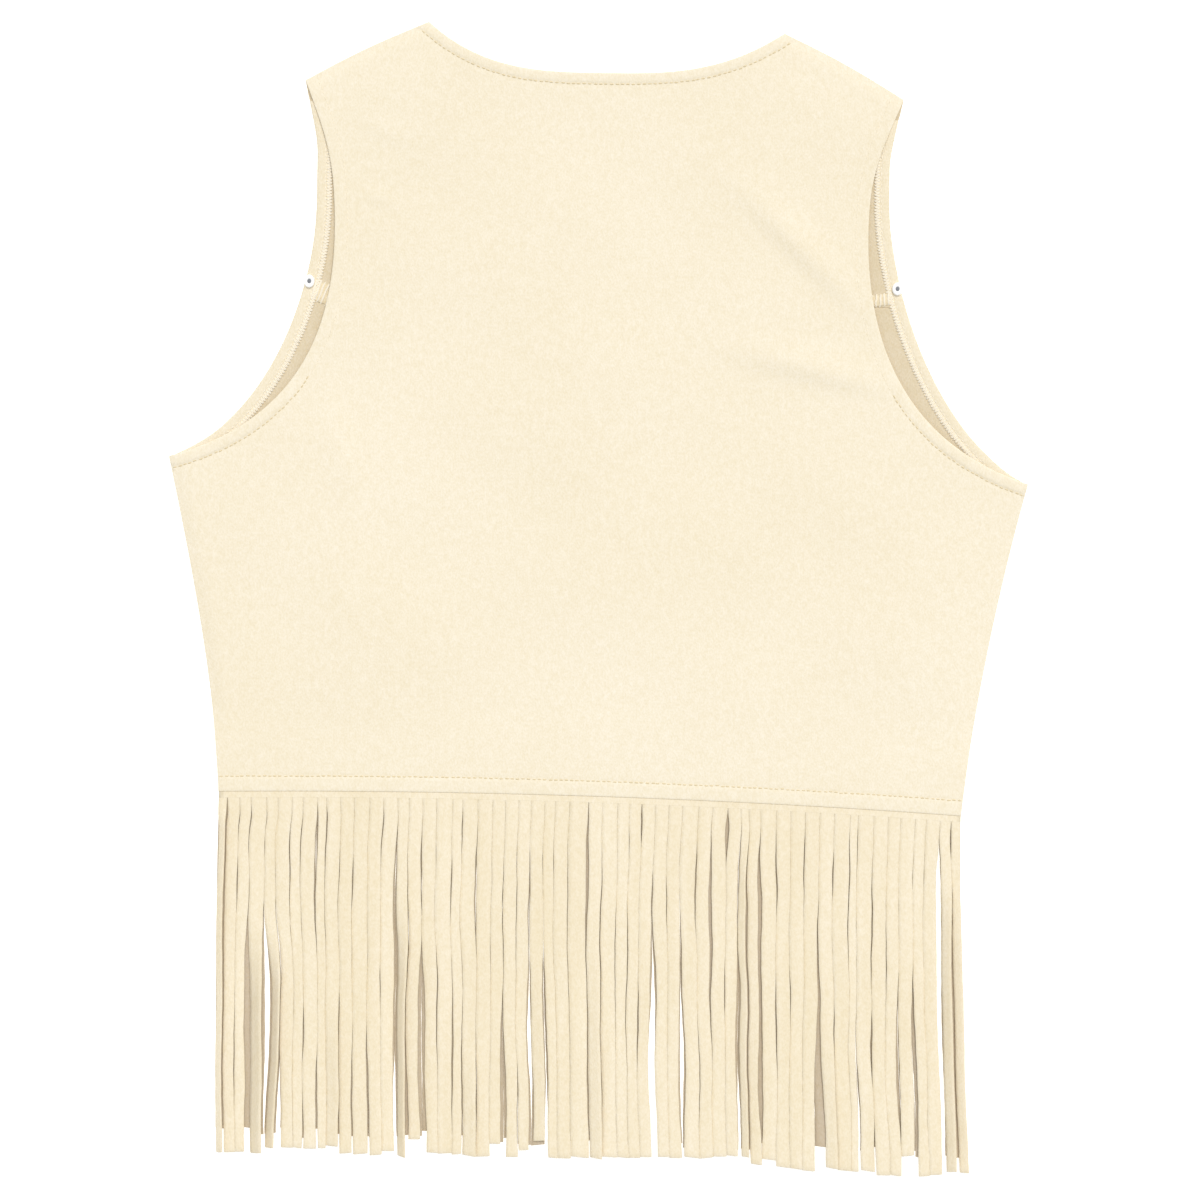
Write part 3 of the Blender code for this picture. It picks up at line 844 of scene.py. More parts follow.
# Share of the way up an allowance, and height in millimetres
SEAM_PROFILE = ((0, 0.84), (0.06, 1.06), (0.15, 1.20), (0.5, 1.26), (0.8, 1.18), (1, 0.90))
SEAM_WALL, SEAM_COLUMNS = 0.0004, 50
# How far it stays off the neck edge, and runs in under the strip
SEAM_START, SEAM_TUCK = 0.0012, 0.0006


def trimmed(line, start, end):
    """A line without a length at each of its ends, with even points."""
    length = along(line)[-1]
    steps = round((length - start - end) / STRIP_SPACING)
    return at_reach(line, np.linspace(start, length - end, steps + 1))


def seam_row(side, offset, height):
    """Points along a yoke seam from the neck edge to the strip, at an offset from it."""
    level = YOKE_SEAM_HEIGHT + offset
    inner_edge = inset(strip_edge, STRIP_PROFILE[-1][0] - SEAM_TUCK)
    end = np.interp(level, inner_edge[:, 1], inner_edge[:, 0])
    line = straight((vee_at(level) + SEAM_START, level), (end, level), SEAM_COLUMNS)
    line[:, 1] += SEAM_TILT[side] * np.linspace(0, 1, len(line)) ** SEAM_BEND[side]
    return raised(slipped(line, SIDES[side]), height)


strip_edge = trimmed(armhole_line(FRONT_ARMHOLE), *STRIP_ENDS)
strips, allowances = {}, {}
for side, sign in SIDES.items():
    rows = [raised(slipped(inset(strip_edge, distance), sign), height)
            for distance, height in STRIP_PROFILE]
    strips[side] = band(f"armhole_strip_{side}", np.array(rows), STRIP_WALL, suede_turned)

    low, high = SEAM_REACH[side]
    rows = [seam_row(side, low + (high - low) * share, height / 1000)
            for share, height in SEAM_PROFILE]
    allowances[side] = band(f"yoke_allowance_{side}", np.array(rows), SEAM_WALL, suede_seam)
print("strips", round(along(strip_edge)[-1], 3), "m long")

# %% [markdown]
# ## The fringe
#
# The fringe is a deep band of the same suede cut into narrow strands, hanging from
# an uncut strip under the hem. There is one for the back and one for each front.
# No two cuts are the same: some stay shut, some gape for part of their length, and
# some open into a wedge that shows the strands of the front or the floor below.
# The table gives each cut's place at the strip and how it opens, in millimetres.

# %% Cuts of the back's fringe
# Place of a cut: gaps as (depth where it starts, is widest and is shut again, width)
OPEN_END = 500
BACK_CUTS = {
    -206.2: [],
    -201.5: [(-3, 9, 17, 1), (20, 60, OPEN_END, 0.3)],
    -194.7: [(5, 12, 25, 0.43), (30, 45, 62, 0.52), (105, 150, 178, 0.52)],
    -188.3: [(4, 12, 28, 0.6), (56, 100, OPEN_END, 3.2)],
    -179.6: [(6, 12, 22, 0.26), (56, 105, 225, 5.2)],
    -173.2: [(50, 85, 112, 0.6), (135, 190, OPEN_END, 3.6)],
    -165.3: [(3, 30, 78, 0.52)],
    -159.2: [(5, 20, 55, 0.43), (112, 132, 152, 0.78), (160, 190, OPEN_END, 0.78)],
    -151.0: [(1, 22, 95, 1.5), (135, 165, OPEN_END, 1.03)],
    -146.0: [(4, 12, 60, 0.7)],
    -138.2: [(20, 40, 70, 0.26), (106, 118, 138, 0.52), (165, 190, OPEN_END, 0.86)],
    -130.6: [(30, 45, 66, 0.7), (130, 165, OPEN_END, 0.86)],
    -121.9: [(122, 155, OPEN_END, 1.13)],
    -114.1: [(3, 15, 45, 0.6), (90, 103, 122, 0.43)],
    -106.2: [(7, 50, OPEN_END, 1.9)],
    -99.8: [(20, 60, 100, 0.35), (140, 185, OPEN_END, 1.4)],
    -92.2: [(8, 40, 75, 0.78), (74, 115, OPEN_END, 4)],
    -84.4: [(75, 112, 165, 0.6)],
    -75.4: [(28, 45, 75, 0.6), (90, 140, 195, 0.95)],
    -69.8: [(4, 14, 36, 0.52), (95, 170, OPEN_END, 0.7)],
    -61.4: [(8, 56, 90, 1.13), (118, 165, 195, 0.52)],
    -53.0: [],
    -46.0: [(20, 60, 110, 0.35), (95, 165, OPEN_END, 3.4)],
    -38.5: [(20, 60, 110, 0.26), (140, 170, OPEN_END, 0.6)],
    -31.5: [(22, 62, 92, 1.03), (70, 125, OPEN_END, 2.9)],
    -23.9: [(72, 110, OPEN_END, 1.9)],
    -18.0: [],
    -9.9: [(15, 50, 190, 0.26)],
    0.7: [(-8, 36, 110, 1.7), (80, 130, OPEN_END, 0.7)],
    8.3: [(18, 60, 195, 0.52)],
    17.0: [(50, 75, 150, 0.3)],
    23.7: [(12, 20, 32, 0.26), (48, 80, 175, 0.43)],
    30.4: [(-4, 10, 26, 0.95), (92, 122, 155, 0.78)],
    37.7: [(34, 50, 75, 0.78), (55, 105, OPEN_END, 3.9)],
    45.5: [(34, 52, 80, 0.35)],
    53.1: [(38, 95, OPEN_END, 1.2), (92, 150, 202, 3.0)],
    62.3: [(16, 40, 78, 0.8), (110, 150, 190, 0.4)],
    70.2: [(4, 58, 155, 1.9)],
    78.6: [(0, 12, 34, 2.3), (80, 105, 120, 0.52)],
    85.8: [(5, 35, 78, 1.03), (70, 105, OPEN_END, 2.4)],
    90.3: [(6, 60, OPEN_END, 1.13)],
    96.8: [(8, 50, 130, 2.4), (60, 160, 195, 2.8)],
    105.7: [(4, 40, 62, 0.78), (85, 118, 155, 0.7)],
    113.8: [(85, 100, 125, 0.43)],
    122.0: [(3, 25, 62, 0.52)],
    130.1: [(38, 90, 130, 1.03), (80, 185, OPEN_END, 6.2)],
    138.2: [(18, 34, 52, 0.7), (104, 118, 140, 0.52)],
    147.2: [(3, 30, 100, 0.5)],
    151.6: [(4, 14, 42, 0.3), (100, 170, OPEN_END, 1.3)],
    160.3: [(20, 60, 108, 0.7), (104, 128, 155, 1.13), (165, 190, OPEN_END, 0.86)],
    168.4: [(52, 80, 112, 0.35)],
    175.4: [(78, 150, 188, 2.1)],
    183.6: [(75, 130, OPEN_END, 2.4)],
    189.7: [],
    197.5: [(6, 34, OPEN_END, 2.6)],
    203.6: [(-2, 10, 24, 0.78), (30, 90, OPEN_END, 1.1)],
    208.8: [],
}
stay_shut = sum(not gaps for gaps in BACK_CUTS.values())
print("cuts:", len(BACK_CUTS), "of which", stay_shut, "stay shut")

# %% [markdown]
# ## Openings of the fronts' fringes, and where the strands end
#
# The floor shows where a front's fringe opens right under one of the back's cuts, so
# its openings are listed by those cuts. The strands were cut off along a wavy line,
# and some of them are clearly shorter than their neighbours.

# %% Openings and ends
FRONT_OPENINGS = {
    -179.6: [(60, 110, 215, 2.8)],
    -173.2: [(145, 185, OPEN_END, 2.4)],
    -106.2: [(138, 165, OPEN_END, 1.5)],
    -31.5: [(98, 130, 190, 1.6)],
    -23.9: [(150, 180, OPEN_END, 1.6)],
    37.7: [(70, 140, OPEN_END, 3.6)],
    53.1: [(92, 140, 205, 2.0)],
    85.8: [(140, 170, OPEN_END, 1.3)],
    151.6: [(140, 175, OPEN_END, 1.0)],
    197.5: [(8, 40, OPEN_END, 3.0)],
}
# How far the back's fringe reaches below -300 mm at places along it, and how much
# shorter some strands are, by the cut on their left
END_LINE = {-206: 18, -184: 18, -178: 14.5, -148: 14.5, -136: 16.5, -100: 17.5, -89: 14.5,
            -70: 15.5, -15: 15.5, 0: 14.5, 30: 13.5, 66: 12.5, 84: 11, 89: 11, 93: 15.5,
            110: 16.5, 124: 18, 155: 17, 163: 19, 190: 19, 198: 16, 209: 16}
SHORTER = {-146.0: 3, -114.1: 2.5, -99.8: 8.5, -53.0: 6.5, -38.5: 4, -31.5: 9, 96.8: 3.5,
           130.1: 1.5, 175.4: 11.5}
print("strands that end short:", len(SHORTER))

# %% [markdown]
# ## How the strands lie
#
# All the cuts drift to one side as they run down. An open cut pushes the strands on
# both sides apart, less and less with distance, so the whole fringe shares the room.

# %% Lines of the cuts
FRINGE_LENGTH, STRAND_LEAN, LEAN_POWER, STRAND_FAN = 0.200, 0.0066, 1.5, 0.0020
RIGHT_SPREAD, SPREAD_POWER = 0.0030, 30
PUSH_REACH, SHUT_WIDTH = 0.018, 0.00001
WANDER, WANDER_START = 0.00028, 0.030
# Length of the slow and the fast sway of a cut, and how much each varies
SLOW_WANDER, FAST_WANDER, FAST_SHARE = (0.05, 0.06), (0.014, 0.012), 0.3
FRONT_STRANDS, ENDS_FROM, BACK_UNEVEN = 28, -0.300, 0.0004


def gap_width(gaps, depth):
    """How wide a cut stands open at depths below the strip, in metres."""
    width = np.full(len(depth), SHUT_WIDTH)
    for start, widest, shut, opened in gaps:
        rise = smooth((depth * 1000 - start) / (widest - start))
        fall = smooth((depth * 1000 - widest) / (shut - widest))
        width = width + opened / 1000 * rise * (1 - fall)
    return width


def drifted(at, depth):
    """Lines of cuts that only drift and fan out as they run down."""
    share = np.clip(depth, 0, None) / FRINGE_LENGTH
    lines = at[:, None] + STRAND_LEAN * share**LEAN_POWER
    return lines + STRAND_FAN * share * at[:, None] / HEM_HALF


def wander(count, depth, chance):
    """A small random sway for each cut, slow with a faster one on top."""
    a, b, c, d = chance.uniform(0, 1, (4, count, 1))
    slow = np.sin(2 * math.pi * (depth / (SLOW_WANDER[0] + SLOW_WANDER[1] * a) + b))
    fast = np.sin(2 * math.pi * (depth / (FAST_WANDER[0] + FAST_WANDER[1] * c) + d))
    return WANDER * smooth(depth / WANDER_START) * (slow + FAST_SHARE * fast)


def back_ends(places):
    """Height at which each strand of the back's fringe ends."""
    middles = (np.array(places[:-1]) + places[1:]) / 2
    reach = np.interp(middles, list(END_LINE), list(END_LINE.values()))
    reach = reach - [SHORTER.get(place, 0) for place in places[:-1]]
    uneven = np.random.default_rng(3).uniform(-1, 1, len(reach))
    return ENDS_FROM - reach / 1000 + BACK_UNEVEN * uneven


def upper_cuts(cuts, depth, chance):
    """Lines and widths of the back's cuts at depths below the strip."""
    at = np.array(list(cuts)) / 1000
    widths = np.array([gap_width(gaps, depth) for gaps in cuts.values()])
    apart = at[:, None] - at[None]
    push = (np.sign(apart) * np.exp(-np.abs(apart) / PUSH_REACH) / 2) @ widths
    across = ((at - at[0]) / (at[-1] - at[0]))[:, None]
    push = push - (1 - across) * push[0] - across * push[-1]
    push = push + RIGHT_SPREAD * across**SPREAD_POWER * np.clip(depth, 0, None) / FRINGE_LENGTH
    return drifted(at, depth) + push + wander(len(at), depth, chance), widths


def lower_cuts(start, end, above, depth, chance):
    """Lines and widths of a front's cuts, with its openings under those of the back."""
    anchors, gaps = {0: start, FRONT_STRANDS: end}, {}
    for place, opening in FRONT_OPENINGS.items():
        number = round((place - start) / (end - start) * FRONT_STRANDS)
        if 0 < number < FRONT_STRANDS:
            anchors[number], gaps[number] = place, opening
    numbers = sorted(anchors)
    known = [above[anchors[number]] if number in gaps
             else drifted(np.array([anchors[number] / 1000]), depth)[0] for number in numbers]
    every = np.arange(FRONT_STRANDS + 1)
    lines = np.array([np.interp(every, numbers, column) for column in np.array(known).T]).T
    loose = np.isin(every, numbers, invert=True)[:, None]
    widths = np.array([gap_width(gaps.get(number, []), depth) for number in every])
    return lines + loose * wander(len(every), depth, chance), widths


# %% [markdown]
# ## Cutting the strands
#
# Every strand is a soft bar with bevelled edges: twelve points round, drawn down
# between its two cuts. Its roll and camber vary a little. A strand that turns over on
# its side keeps its width, so it stands higher and looks narrower from above.

# %% One strand
BACKING_RISE, BACKING_DROP = 0.0100, 0.0035
STRAND_WALL, STRAND_ROWS, STRAND_EDGE = 0.00080, 64, 0.00008
ROOT_OVERLAP, ROLL_BY_DEPTH, LIFT_SHARE = 0.0008, 0.014, 0.8
ROUGH_CUT, NARROWEST_HALF = 0.00002, 0.0006
TIP_SLANT, TIP_LENGTH, TIP_THIN = 0.14, 0.0004, 0.5
# Depth where a strand hangs loose, then the length of its sway and how that varies
LOOSE_BY, SWAY_LENGTH = 0.05, (0.10, 0.03)
SWAY_TURN, SWAY_RISE = math.radians(1.6), 0.00012
ROLL_VARIES, CAMBER = 0.6, 0.00006
Fringe = namedtuple(
    "Fringe", "name start end lines widths turned backing level roll ends finishes")
# The twelve points round a strand: sideways, drawn in at the corners, and up
ACROSS = np.array((-1, -0.5, 0, 0.5, 1, 1, 1, 1, 0, -1, -1, -1))
EDGE = np.array((-1, 0, 0, 0, 1, 0, 0, 1, 0, -1, 0, 0))
UP = np.array((1, 1, 1, 1, 1, 0.7, -0.7, -1, -1, -1, -0.7, 0.7)) * STRAND_WALL / 2
UNDERSIDE = (6, 7, 8, 9)


def strand_rings(fringe, number, grid, chance):
    """Rings of points along one strand, from inside the strip to its cut end."""
    lines, widths = fringe.lines[number:number + 2], fringe.widths[number:number + 2]
    middle = lines[:, 0].mean()
    root_y = hem_height(middle - LEAN_HEM) - BACKING_DROP
    length = root_y - fringe.ends[number]
    depth = np.linspace(0, length, STRAND_ROWS)
    depth = np.concatenate([[-ROOT_OVERLAP], depth[:-1], [length - TIP_LENGTH, length]])
    left = np.interp(depth, grid, lines[0] + widths[0] / 2)
    right = np.interp(depth, grid, lines[1] - widths[1] / 2)
    rough = np.abs(chance.normal(0, ROUGH_CUT, (2, len(depth))))
    left, right = left + rough[0], right - rough[1]

    vary = chance.uniform(-1, 1, 4)
    turned = smooth(depth / ROLL_BY_DEPTH)
    sway_length = SWAY_LENGTH[0] + SWAY_LENGTH[1] * vary[1]
    sway = smooth(depth / LOOSE_BY) * np.sin(2 * math.pi * (depth / sway_length + vary[2]))
    roll = fringe.roll * turned * (1 + ROLL_VARIES * vary[0]) + SWAY_TURN * sway
    if number in fringe.turned:
        start, full, degrees = fringe.turned[number]
        roll = roll + math.radians(degrees) * smooth((depth - start) / (full - start))
    cut_half = (lines[1, 0] - lines[0, 0]) / 2
    half = np.clip((right - left) / 2, NARROWEST_HALF, None) / np.cos(roll)
    half = np.minimum(half, cut_half)
    # A strand that rolls more than the others is lifted, clear of what lies below it
    usual = cut_half * (1 + ROLL_VARIES) * math.sin(fringe.roll)
    lift = LIFT_SHARE * np.clip(half * np.abs(np.sin(roll)) - usual, 0, 1)
    z = fringe.backing + (fringe.level - fringe.backing) * turned + lift + SWAY_RISE * sway

    across = half[:, None] * ACROSS - STRAND_EDGE * EDGE
    thin = np.ones(len(depth))
    thin[-1] = TIP_THIN
    camber = -CAMBER * (1 + vary[3]) * turned[:, None] * ACROSS**2
    up = thin[:, None] * UP + camber
    aside = across * np.cos(roll)[:, None] - up * np.sin(roll)[:, None]
    rise = across * np.sin(roll)[:, None] + up * np.cos(roll)[:, None]
    slant = chance.uniform(-TIP_SLANT, TIP_SLANT) * across
    slant = slant * np.clip(depth / length, 0, 1)[:, None]
    y = (root_y - depth)[:, None] + slant
    return np.stack([((left + right) / 2)[:, None] + aside, y, z[:, None] + rise], axis=-1)


# %% [markdown]
# ## Bars and the strip they hang from
#
# The rings of one strand are joined by faces and closed at both ends. All the strands
# of a fringe become one mesh, since there are too many to make one by one. The uncut
# strip lies along the hem, and the strands start a little way inside it.

# %% Bars and strip
# Rows of the strip above and below the hem's edge, and how far apart its columns are
STRIP_ROWS = (-BACKING_DROP, -BACKING_DROP + 0.0001, -0.001, 0.004, BACKING_RISE)
STRIP_STEP, STRIP_EXTRA = 0.004, 0.00002


def tubes(name, rings, finishes):
    """Closed bars through rings of points: strands x rings x points x 3."""
    strands, high, wide, _ = rings.shape
    number = np.arange(strands * high * wide).reshape(strands, high, wide)
    ahead = np.roll(number, -1, axis=2)
    corners = (number[:, :-1], ahead[:, :-1], ahead[:, 1:], number[:, 1:])
    walls = np.column_stack([corner.ravel() for corner in corners]).tolist()
    ends = number[:, 0, ::-1].tolist() + number[:, -1].tolist()
    under = np.tile(np.isin(np.arange(wide), UNDERSIDE), strands * (high - 1)).astype(int)
    finish_numbers = np.concatenate([under, np.zeros(2 * strands, int)])
    vertices = rings.reshape(-1, 3).tolist()
    piece = new_piece(name, vertices, walls + ends, finishes, finish_numbers)
    face_outwards(piece)
    return piece


def backing_strip(name, fringe):
    """The uncut strip that the strands hang from, along the hem."""
    steps = round((fringe.end - fringe.start) / STRIP_STEP)
    x = np.linspace(fringe.start, fringe.end, steps + 1)
    hem = hem_height(x - LEAN_HEM)
    rows = [raised(np.column_stack([x, hem + offset]), fringe.backing) for offset in STRIP_ROWS]
    strip = band(name, np.array(rows), STRAND_WALL + STRIP_EXTRA, fringe.finishes[0])
    strip.data.materials.append(fringe.finishes[1])
    for face in strip.data.polygons:
        face.material_index = int(face.normal.z < 0)
    return strip


# %% [markdown]
# ## Cutting the three fringes
#
# The back's fringe comes first, because those of the fronts take their openings from
# its cuts. A few strands turn over on their side. The fronts' strands lie with the
# wrong side up, a layer lower, and end a little above the back's.

# %% Cut the fringes
FRINGE_END_INSET, FRONTS_MEET, MEETING_GAP = 0.0002, -1.6, 0.1
FRONT_END, FRONT_UNEVEN = -0.3060, 0.0030
DEEP_FROM, DEEP_TO = -0.002, 0.207
BACK_STRIP, BACK_STRANDS, BACK_ROLL = 0.00270, 0.00270, math.radians(1.4)
FRONT_STRIP, FRONT_STRANDS_LEVEL = 0.00155, 0.00075
# Strands that turn over on their side: the cut on their left, depths in metres, degrees
BACK_TURNED = {
    -206.2: (0.002, 0.016, 44),
    -188.3: (0.054, 0.120, 42), -179.6: (0.060, 0.115, 42), -146.0: (0.100, 0.150, 18),
    -106.2: (0.045, 0.110, 46), -69.8: (0.120, 0.170, 16), 0.7: (0.060, 0.140, 20),
    -31.5: (0.070, 0.120, 9), 85.8: (0.006, 0.040, 26), 90.3: (0.020, 0.070, 10),
    130.1: (0.110, 0.170, 16), 197.5: (0.020, 0.060, 32), 203.6: (0.020, 0.090, 16),
}

depth_grid = np.linspace(DEEP_FROM, DEEP_TO, 160)
chance, uneven = np.random.default_rng(21), np.random.default_rng(7)
back_lines, back_widths = upper_cuts(BACK_CUTS, depth_grid, chance)
places = list(BACK_CUTS)
turned = {places.index(place): turn for place, turn in BACK_TURNED.items()}
fringe_cuts = [Fringe("fringe_back", places[0] / 1000, places[-1] / 1000, back_lines, back_widths,
                      turned, BACK_STRIP, BACK_STRANDS, BACK_ROLL,
                      back_ends(places), (suede_fringe, fringe_inside_and_shade))]
outer = 1000 * (HEM_HALF - FRINGE_END_INSET)
above = dict(zip(places, back_lines))
for side, start, end in (("left", 1000 * LEAN_HEM - outer, FRONTS_MEET - MEETING_GAP),
                         ("right", FRONTS_MEET + MEETING_GAP, 1000 * LEAN_HEM + outer)):
    lines, widths = lower_cuts(start, end, above, depth_grid, chance)
    fringe_cuts.append(Fringe(f"fringe_front_{side}", start / 1000, end / 1000, lines, widths,
                              {}, FRONT_STRIP, FRONT_STRANDS_LEVEL, 0,
                              FRONT_END + FRONT_UNEVEN * uneven.uniform(-1, 1, FRONT_STRANDS),
                              (fringe_inside_and_shade, suede_fringe)))
fringes = {}
for fringe in fringe_cuts:
    rings = [strand_rings(fringe, number, depth_grid, chance)
             for number in range(len(fringe.lines) - 1)]
    strands = tubes(fringe.name, np.array(rings), fringe.finishes)
    fringes[fringe.name] = join(fringe.name, strands, backing_strip("backing", fringe))
    print(fringe.name, len(rings), "strands,", len(fringes[fringe.name].data.polygons), "faces")

# %% [markdown]
# ## Topstitching
#
# Every hem is held by a row of stitches about 2 mm long, one every 3 mm. A stitch is
# a short length of thread that comes up out of the cloth, lies in the pressed groove
# and goes down again. It is drawn as a curve with a round section, then made a mesh.

# %% Thread and stitches
STITCH_PITCH, STITCH_LENGTH, STITCH_RADIUS = 0.0030, 0.0020, 0.00038
STITCH_SHARES = (-0.5, -0.25, 0.25, 0.5)
STITCH_LIFT = np.array((-0.00012, 0.00010, 0.00010, -0.00012))
STITCH_SWELL = (0.7, 1.0, 1.0, 0.7)
# How much the stitches differ in place, across and along the row, and in thickness
STITCH_STRAY, THINNEST_STITCH = (0.00010, 0.00018), 0.72


def thread(name, lengths, radius, roundness, finish):
    """Threads as curves with a round section, turned into one mesh.

    Each of lengths is its points and how thick it is at each of them.
    """
    curve = bpy.data.curves.new(name, "CURVE")
    curve.dimensions = "3D"
    curve.bevel_depth, curve.bevel_resolution = radius, roundness
    curve.use_fill_caps = True
    curve.materials.append(finish)
    for points, swell in lengths:
        spline = curve.splines.new("POLY")
        spline.points.add(len(points) - 1)
        spline.points.foreach_set("co", np.column_stack([points, np.ones(len(points))]).ravel())
        spline.points.foreach_set("radius", swell)
        spline.use_smooth = True
    piece = bpy.data.objects.new(name, curve)
    bpy.context.scene.collection.objects.link(piece)
    select_only(piece)
    bpy.ops.object.convert(target="MESH")
    return bpy.context.object


def stitch_row(line, height_at, lift=1):
    """Stitches along a line of places, on the surface that height_at gives."""
    length = along(line)[-1]
    count = int(length / STITCH_PITCH)
    aside, ahead = uneven_stitches.normal(0, np.reshape(STITCH_STRAY, (2, 1)), (2, count))
    middles = (np.arange(count) + 0.5) * length / count + ahead
    reach = (middles[:, None] + STITCH_LENGTH * np.array(STITCH_SHARES)).ravel()
    points = at_reach(np.hstack([line, unit_left(line)]), reach)
    places = points[:, :2] + np.repeat(aside, len(STITCH_SHARES))[:, None] * points[:, 2:]
    z = height_at(places) + lift * np.tile(STITCH_LIFT, count)
    points = np.column_stack([places, z]).reshape(count, len(STITCH_SHARES), 3)
    swell = uneven_stitches.uniform(THINNEST_STITCH, 1.0, (count, 1)) * STITCH_SWELL
    return list(zip(points, swell))


# %% [markdown]
# ## The rows on the back
#
# The rows run along the neck, the bottom hem and the armholes, each on the line of
# its hem's groove. Round the armholes the stitches have sunk into the nap, except
# near the pits. The sunk ones get a thinner and paler thread of their own.

# %% Lay the stitches
SUNK_LIFT, SUNK_RADIUS, PIT_STITCHES = 0.2, 0.00022, 0.118


def on_back(places):
    return back_surfaces(places)[0]


uneven_stitches = np.random.default_rng(11)
shown = stitch_row(inset(BACK_NECK[::-1], NECK_HEM.width), on_back)
shown += stitch_row(inset(BACK_HEM, BOTTOM_HEM.width), on_back)
sunk = []
for line, sign in zip(BACK_ARMHOLES, SIDES.values()):
    line = inset(line, sign * ARMHOLE_HEM.width)
    low = line[:, 1] < PIT_STITCHES
    shown += stitch_row(line[low], on_back)
    sunk += stitch_row(line[~low], on_back, SUNK_LIFT)
back_stitches = thread("stitches_back", shown, STITCH_RADIUS, 1, thread_finish)
armhole_stitches = thread("stitches_armholes", sunk, SUNK_RADIUS, 1, pale_thread)
print("back:", len(shown), "stitches, armholes:", len(sunk), "more")

# %% [markdown]
# ## Stitches and overlocking inside the armholes
#
# The turned strip is stitched down too, and its raw edge is overlocked: one thread
# swings to and fro over it in tight waves. Over the allowances of the yoke seam the
# threads lie side by side as thick ridges.

# %% Lay the inside threads
OVERLOCK_PITCH, OVERLOCK_RADIUS, OVERLOCK_SWELL = 0.0017, 0.00040, 1.20
SWING_POINTS, OVERLOCK_STRAY = 8, 0.00007
STRIP_STITCH, STRIP_STITCH_HEIGHT = 0.0050, 0.00142
STRIP_OVERLOCK = ((0.0059, 0.00150), (0.0087, 0.00108))
RIDGE_PITCH, RIDGE_SWELL = 0.0022, (0.9, 1.6, 1.8, 1.8, 1.6, 0.9)
RIDGE_TURN, RIDGE_STRAY = 0.0004, 0.00022
# Share of the way up an allowance and height of the points along a ridge
RIDGE = ((1.02, 0.00096), (0.88, 0.00122), (0.62, 0.00130), (0.34, 0.00130), (0.08, 0.00118),
         (-0.05, 0.00090))


def overlock(first_line, second_line):
    """One thread that swings to and fro between two lines of points."""
    swings = round(along(first_line)[-1] / OVERLOCK_PITCH)
    share = np.linspace(0, 1, SWING_POINTS * swings + 1)
    first, second = (at_reach(line, share * along(line)[-1]) for line in (first_line, second_line))
    across = (1 - np.cos(2 * math.pi * swings * share))[:, None] / 2
    points = first + across * (second - first)
    points = points + rough_thread.normal(0, OVERLOCK_STRAY, points.shape)
    return points, np.full(len(points), OVERLOCK_SWELL)


def ridges(side):
    """Threads that lie side by side over the allowances of a yoke seam."""
    low, high = SEAM_REACH[side]
    rows = [seam_row(side, low + (high - low) * share, height) for share, height in RIDGE]
    count = int(along(rows[0])[-1] / RIDGE_PITCH)
    shares = (np.arange(count) + 0.5) / count
    lines = []
    for number, row in enumerate(rows):
        reach = shares * along(row)[-1] - SIDES[side] * RIDGE_TURN * number
        lines.append(at_reach(row, np.clip(reach, 0, None)))
    points = np.stack(lines, axis=1)
    points[:, :, :2] += rough_thread.normal(0, RIDGE_STRAY, points[:, :, :2].shape)
    return [(row, RIDGE_SWELL) for row in points]


rough_thread = np.random.default_rng(5)
inside_threads = {}
for side, sign in SIDES.items():
    line = slipped(inset(strip_edge, STRIP_STITCH), sign)
    rows = stitch_row(line, lambda places: np.full(len(places), STRIP_STITCH_HEIGHT))
    rows.append(overlock(*(raised(slipped(inset(strip_edge, distance), sign), height)
                           for distance, height in STRIP_OVERLOCK)))
    rows += ridges(side)
    inside_threads[side] = thread(
        f"inside_threads_{side}", rows, OVERLOCK_RADIUS, 1, overlock_thread)

# %% [markdown]
# ## The beads
#
# A small white bead is sewn beside each yoke seam. It is a ring, a little taller
# than wide, with a faint painted glow. A dark thread knot fills its hole; its dark
# grey is painted shade of the hole.

# %% Shape the beads
BEAD_HEIGHTS = {"left": 0.1700, "right": 0.1765}
BEAD_IN, BEAD_LEVEL = {"left": 0.0027, "right": 0.0023}, 0.00190
BEAD_RING, BEAD_TUBE = 0.00210, 0.00110
BEAD_OVAL = (0.93, 1.15, 0.90)
# Size and shape of the dark knot, painted shade in the bead's hole
KNOT_SHADE_RADIUS, KNOT_SHADE_OVAL = 0.00140, (1.0, 1.15, 0.55)
beads = {}
for side, sign in SIDES.items():
    height = BEAD_HEIGHTS[side]
    edge = armhole_line(FRONT_ARMHOLE)
    out = np.interp(height, edge[:, 1], edge[:, 0]) - BEAD_IN[side]
    x, y = slipped([(out, height)], sign)[0]
    place = (x, y, BEAD_LEVEL + BEAD_TUBE)
    bpy.ops.mesh.primitive_torus_add(
        major_segments=32, minor_segments=14, major_radius=BEAD_RING, minor_radius=BEAD_TUBE)
    ring = bpy.context.object
    bpy.ops.transform.resize(value=BEAD_OVAL)
    # The ring's finish carries a faint painted glow
    ring.data.materials.append(glowing_bead_finish)
    bpy.ops.object.shade_smooth()
    # A dark knot in the hole, as painted shade of the hole
    bpy.ops.mesh.primitive_uv_sphere_add(segments=16, ring_count=8, radius=KNOT_SHADE_RADIUS)
    knot_shade = bpy.context.object
    bpy.ops.transform.resize(value=KNOT_SHADE_OVAL)
    knot_shade.data.materials.append(knot_and_hole_shade_finish)
    bpy.ops.object.shade_smooth()
    beads[side] = join(f"bead_piece_{side}", ring, knot_shade)
    bpy.ops.transform.translate(value=place)
    bpy.ops.object.transform_apply(location=True, rotation=True, scale=True)
print("beads", {side: len(bead.data.polygons) for side, bead in beads.items()})

# %% [markdown]
# ## Put each piece on the body
#
# Every piece rides on the one body and takes the place of its plain node, which is
# hidden. The sizes of the back and of its fringe, as laid, are printed.

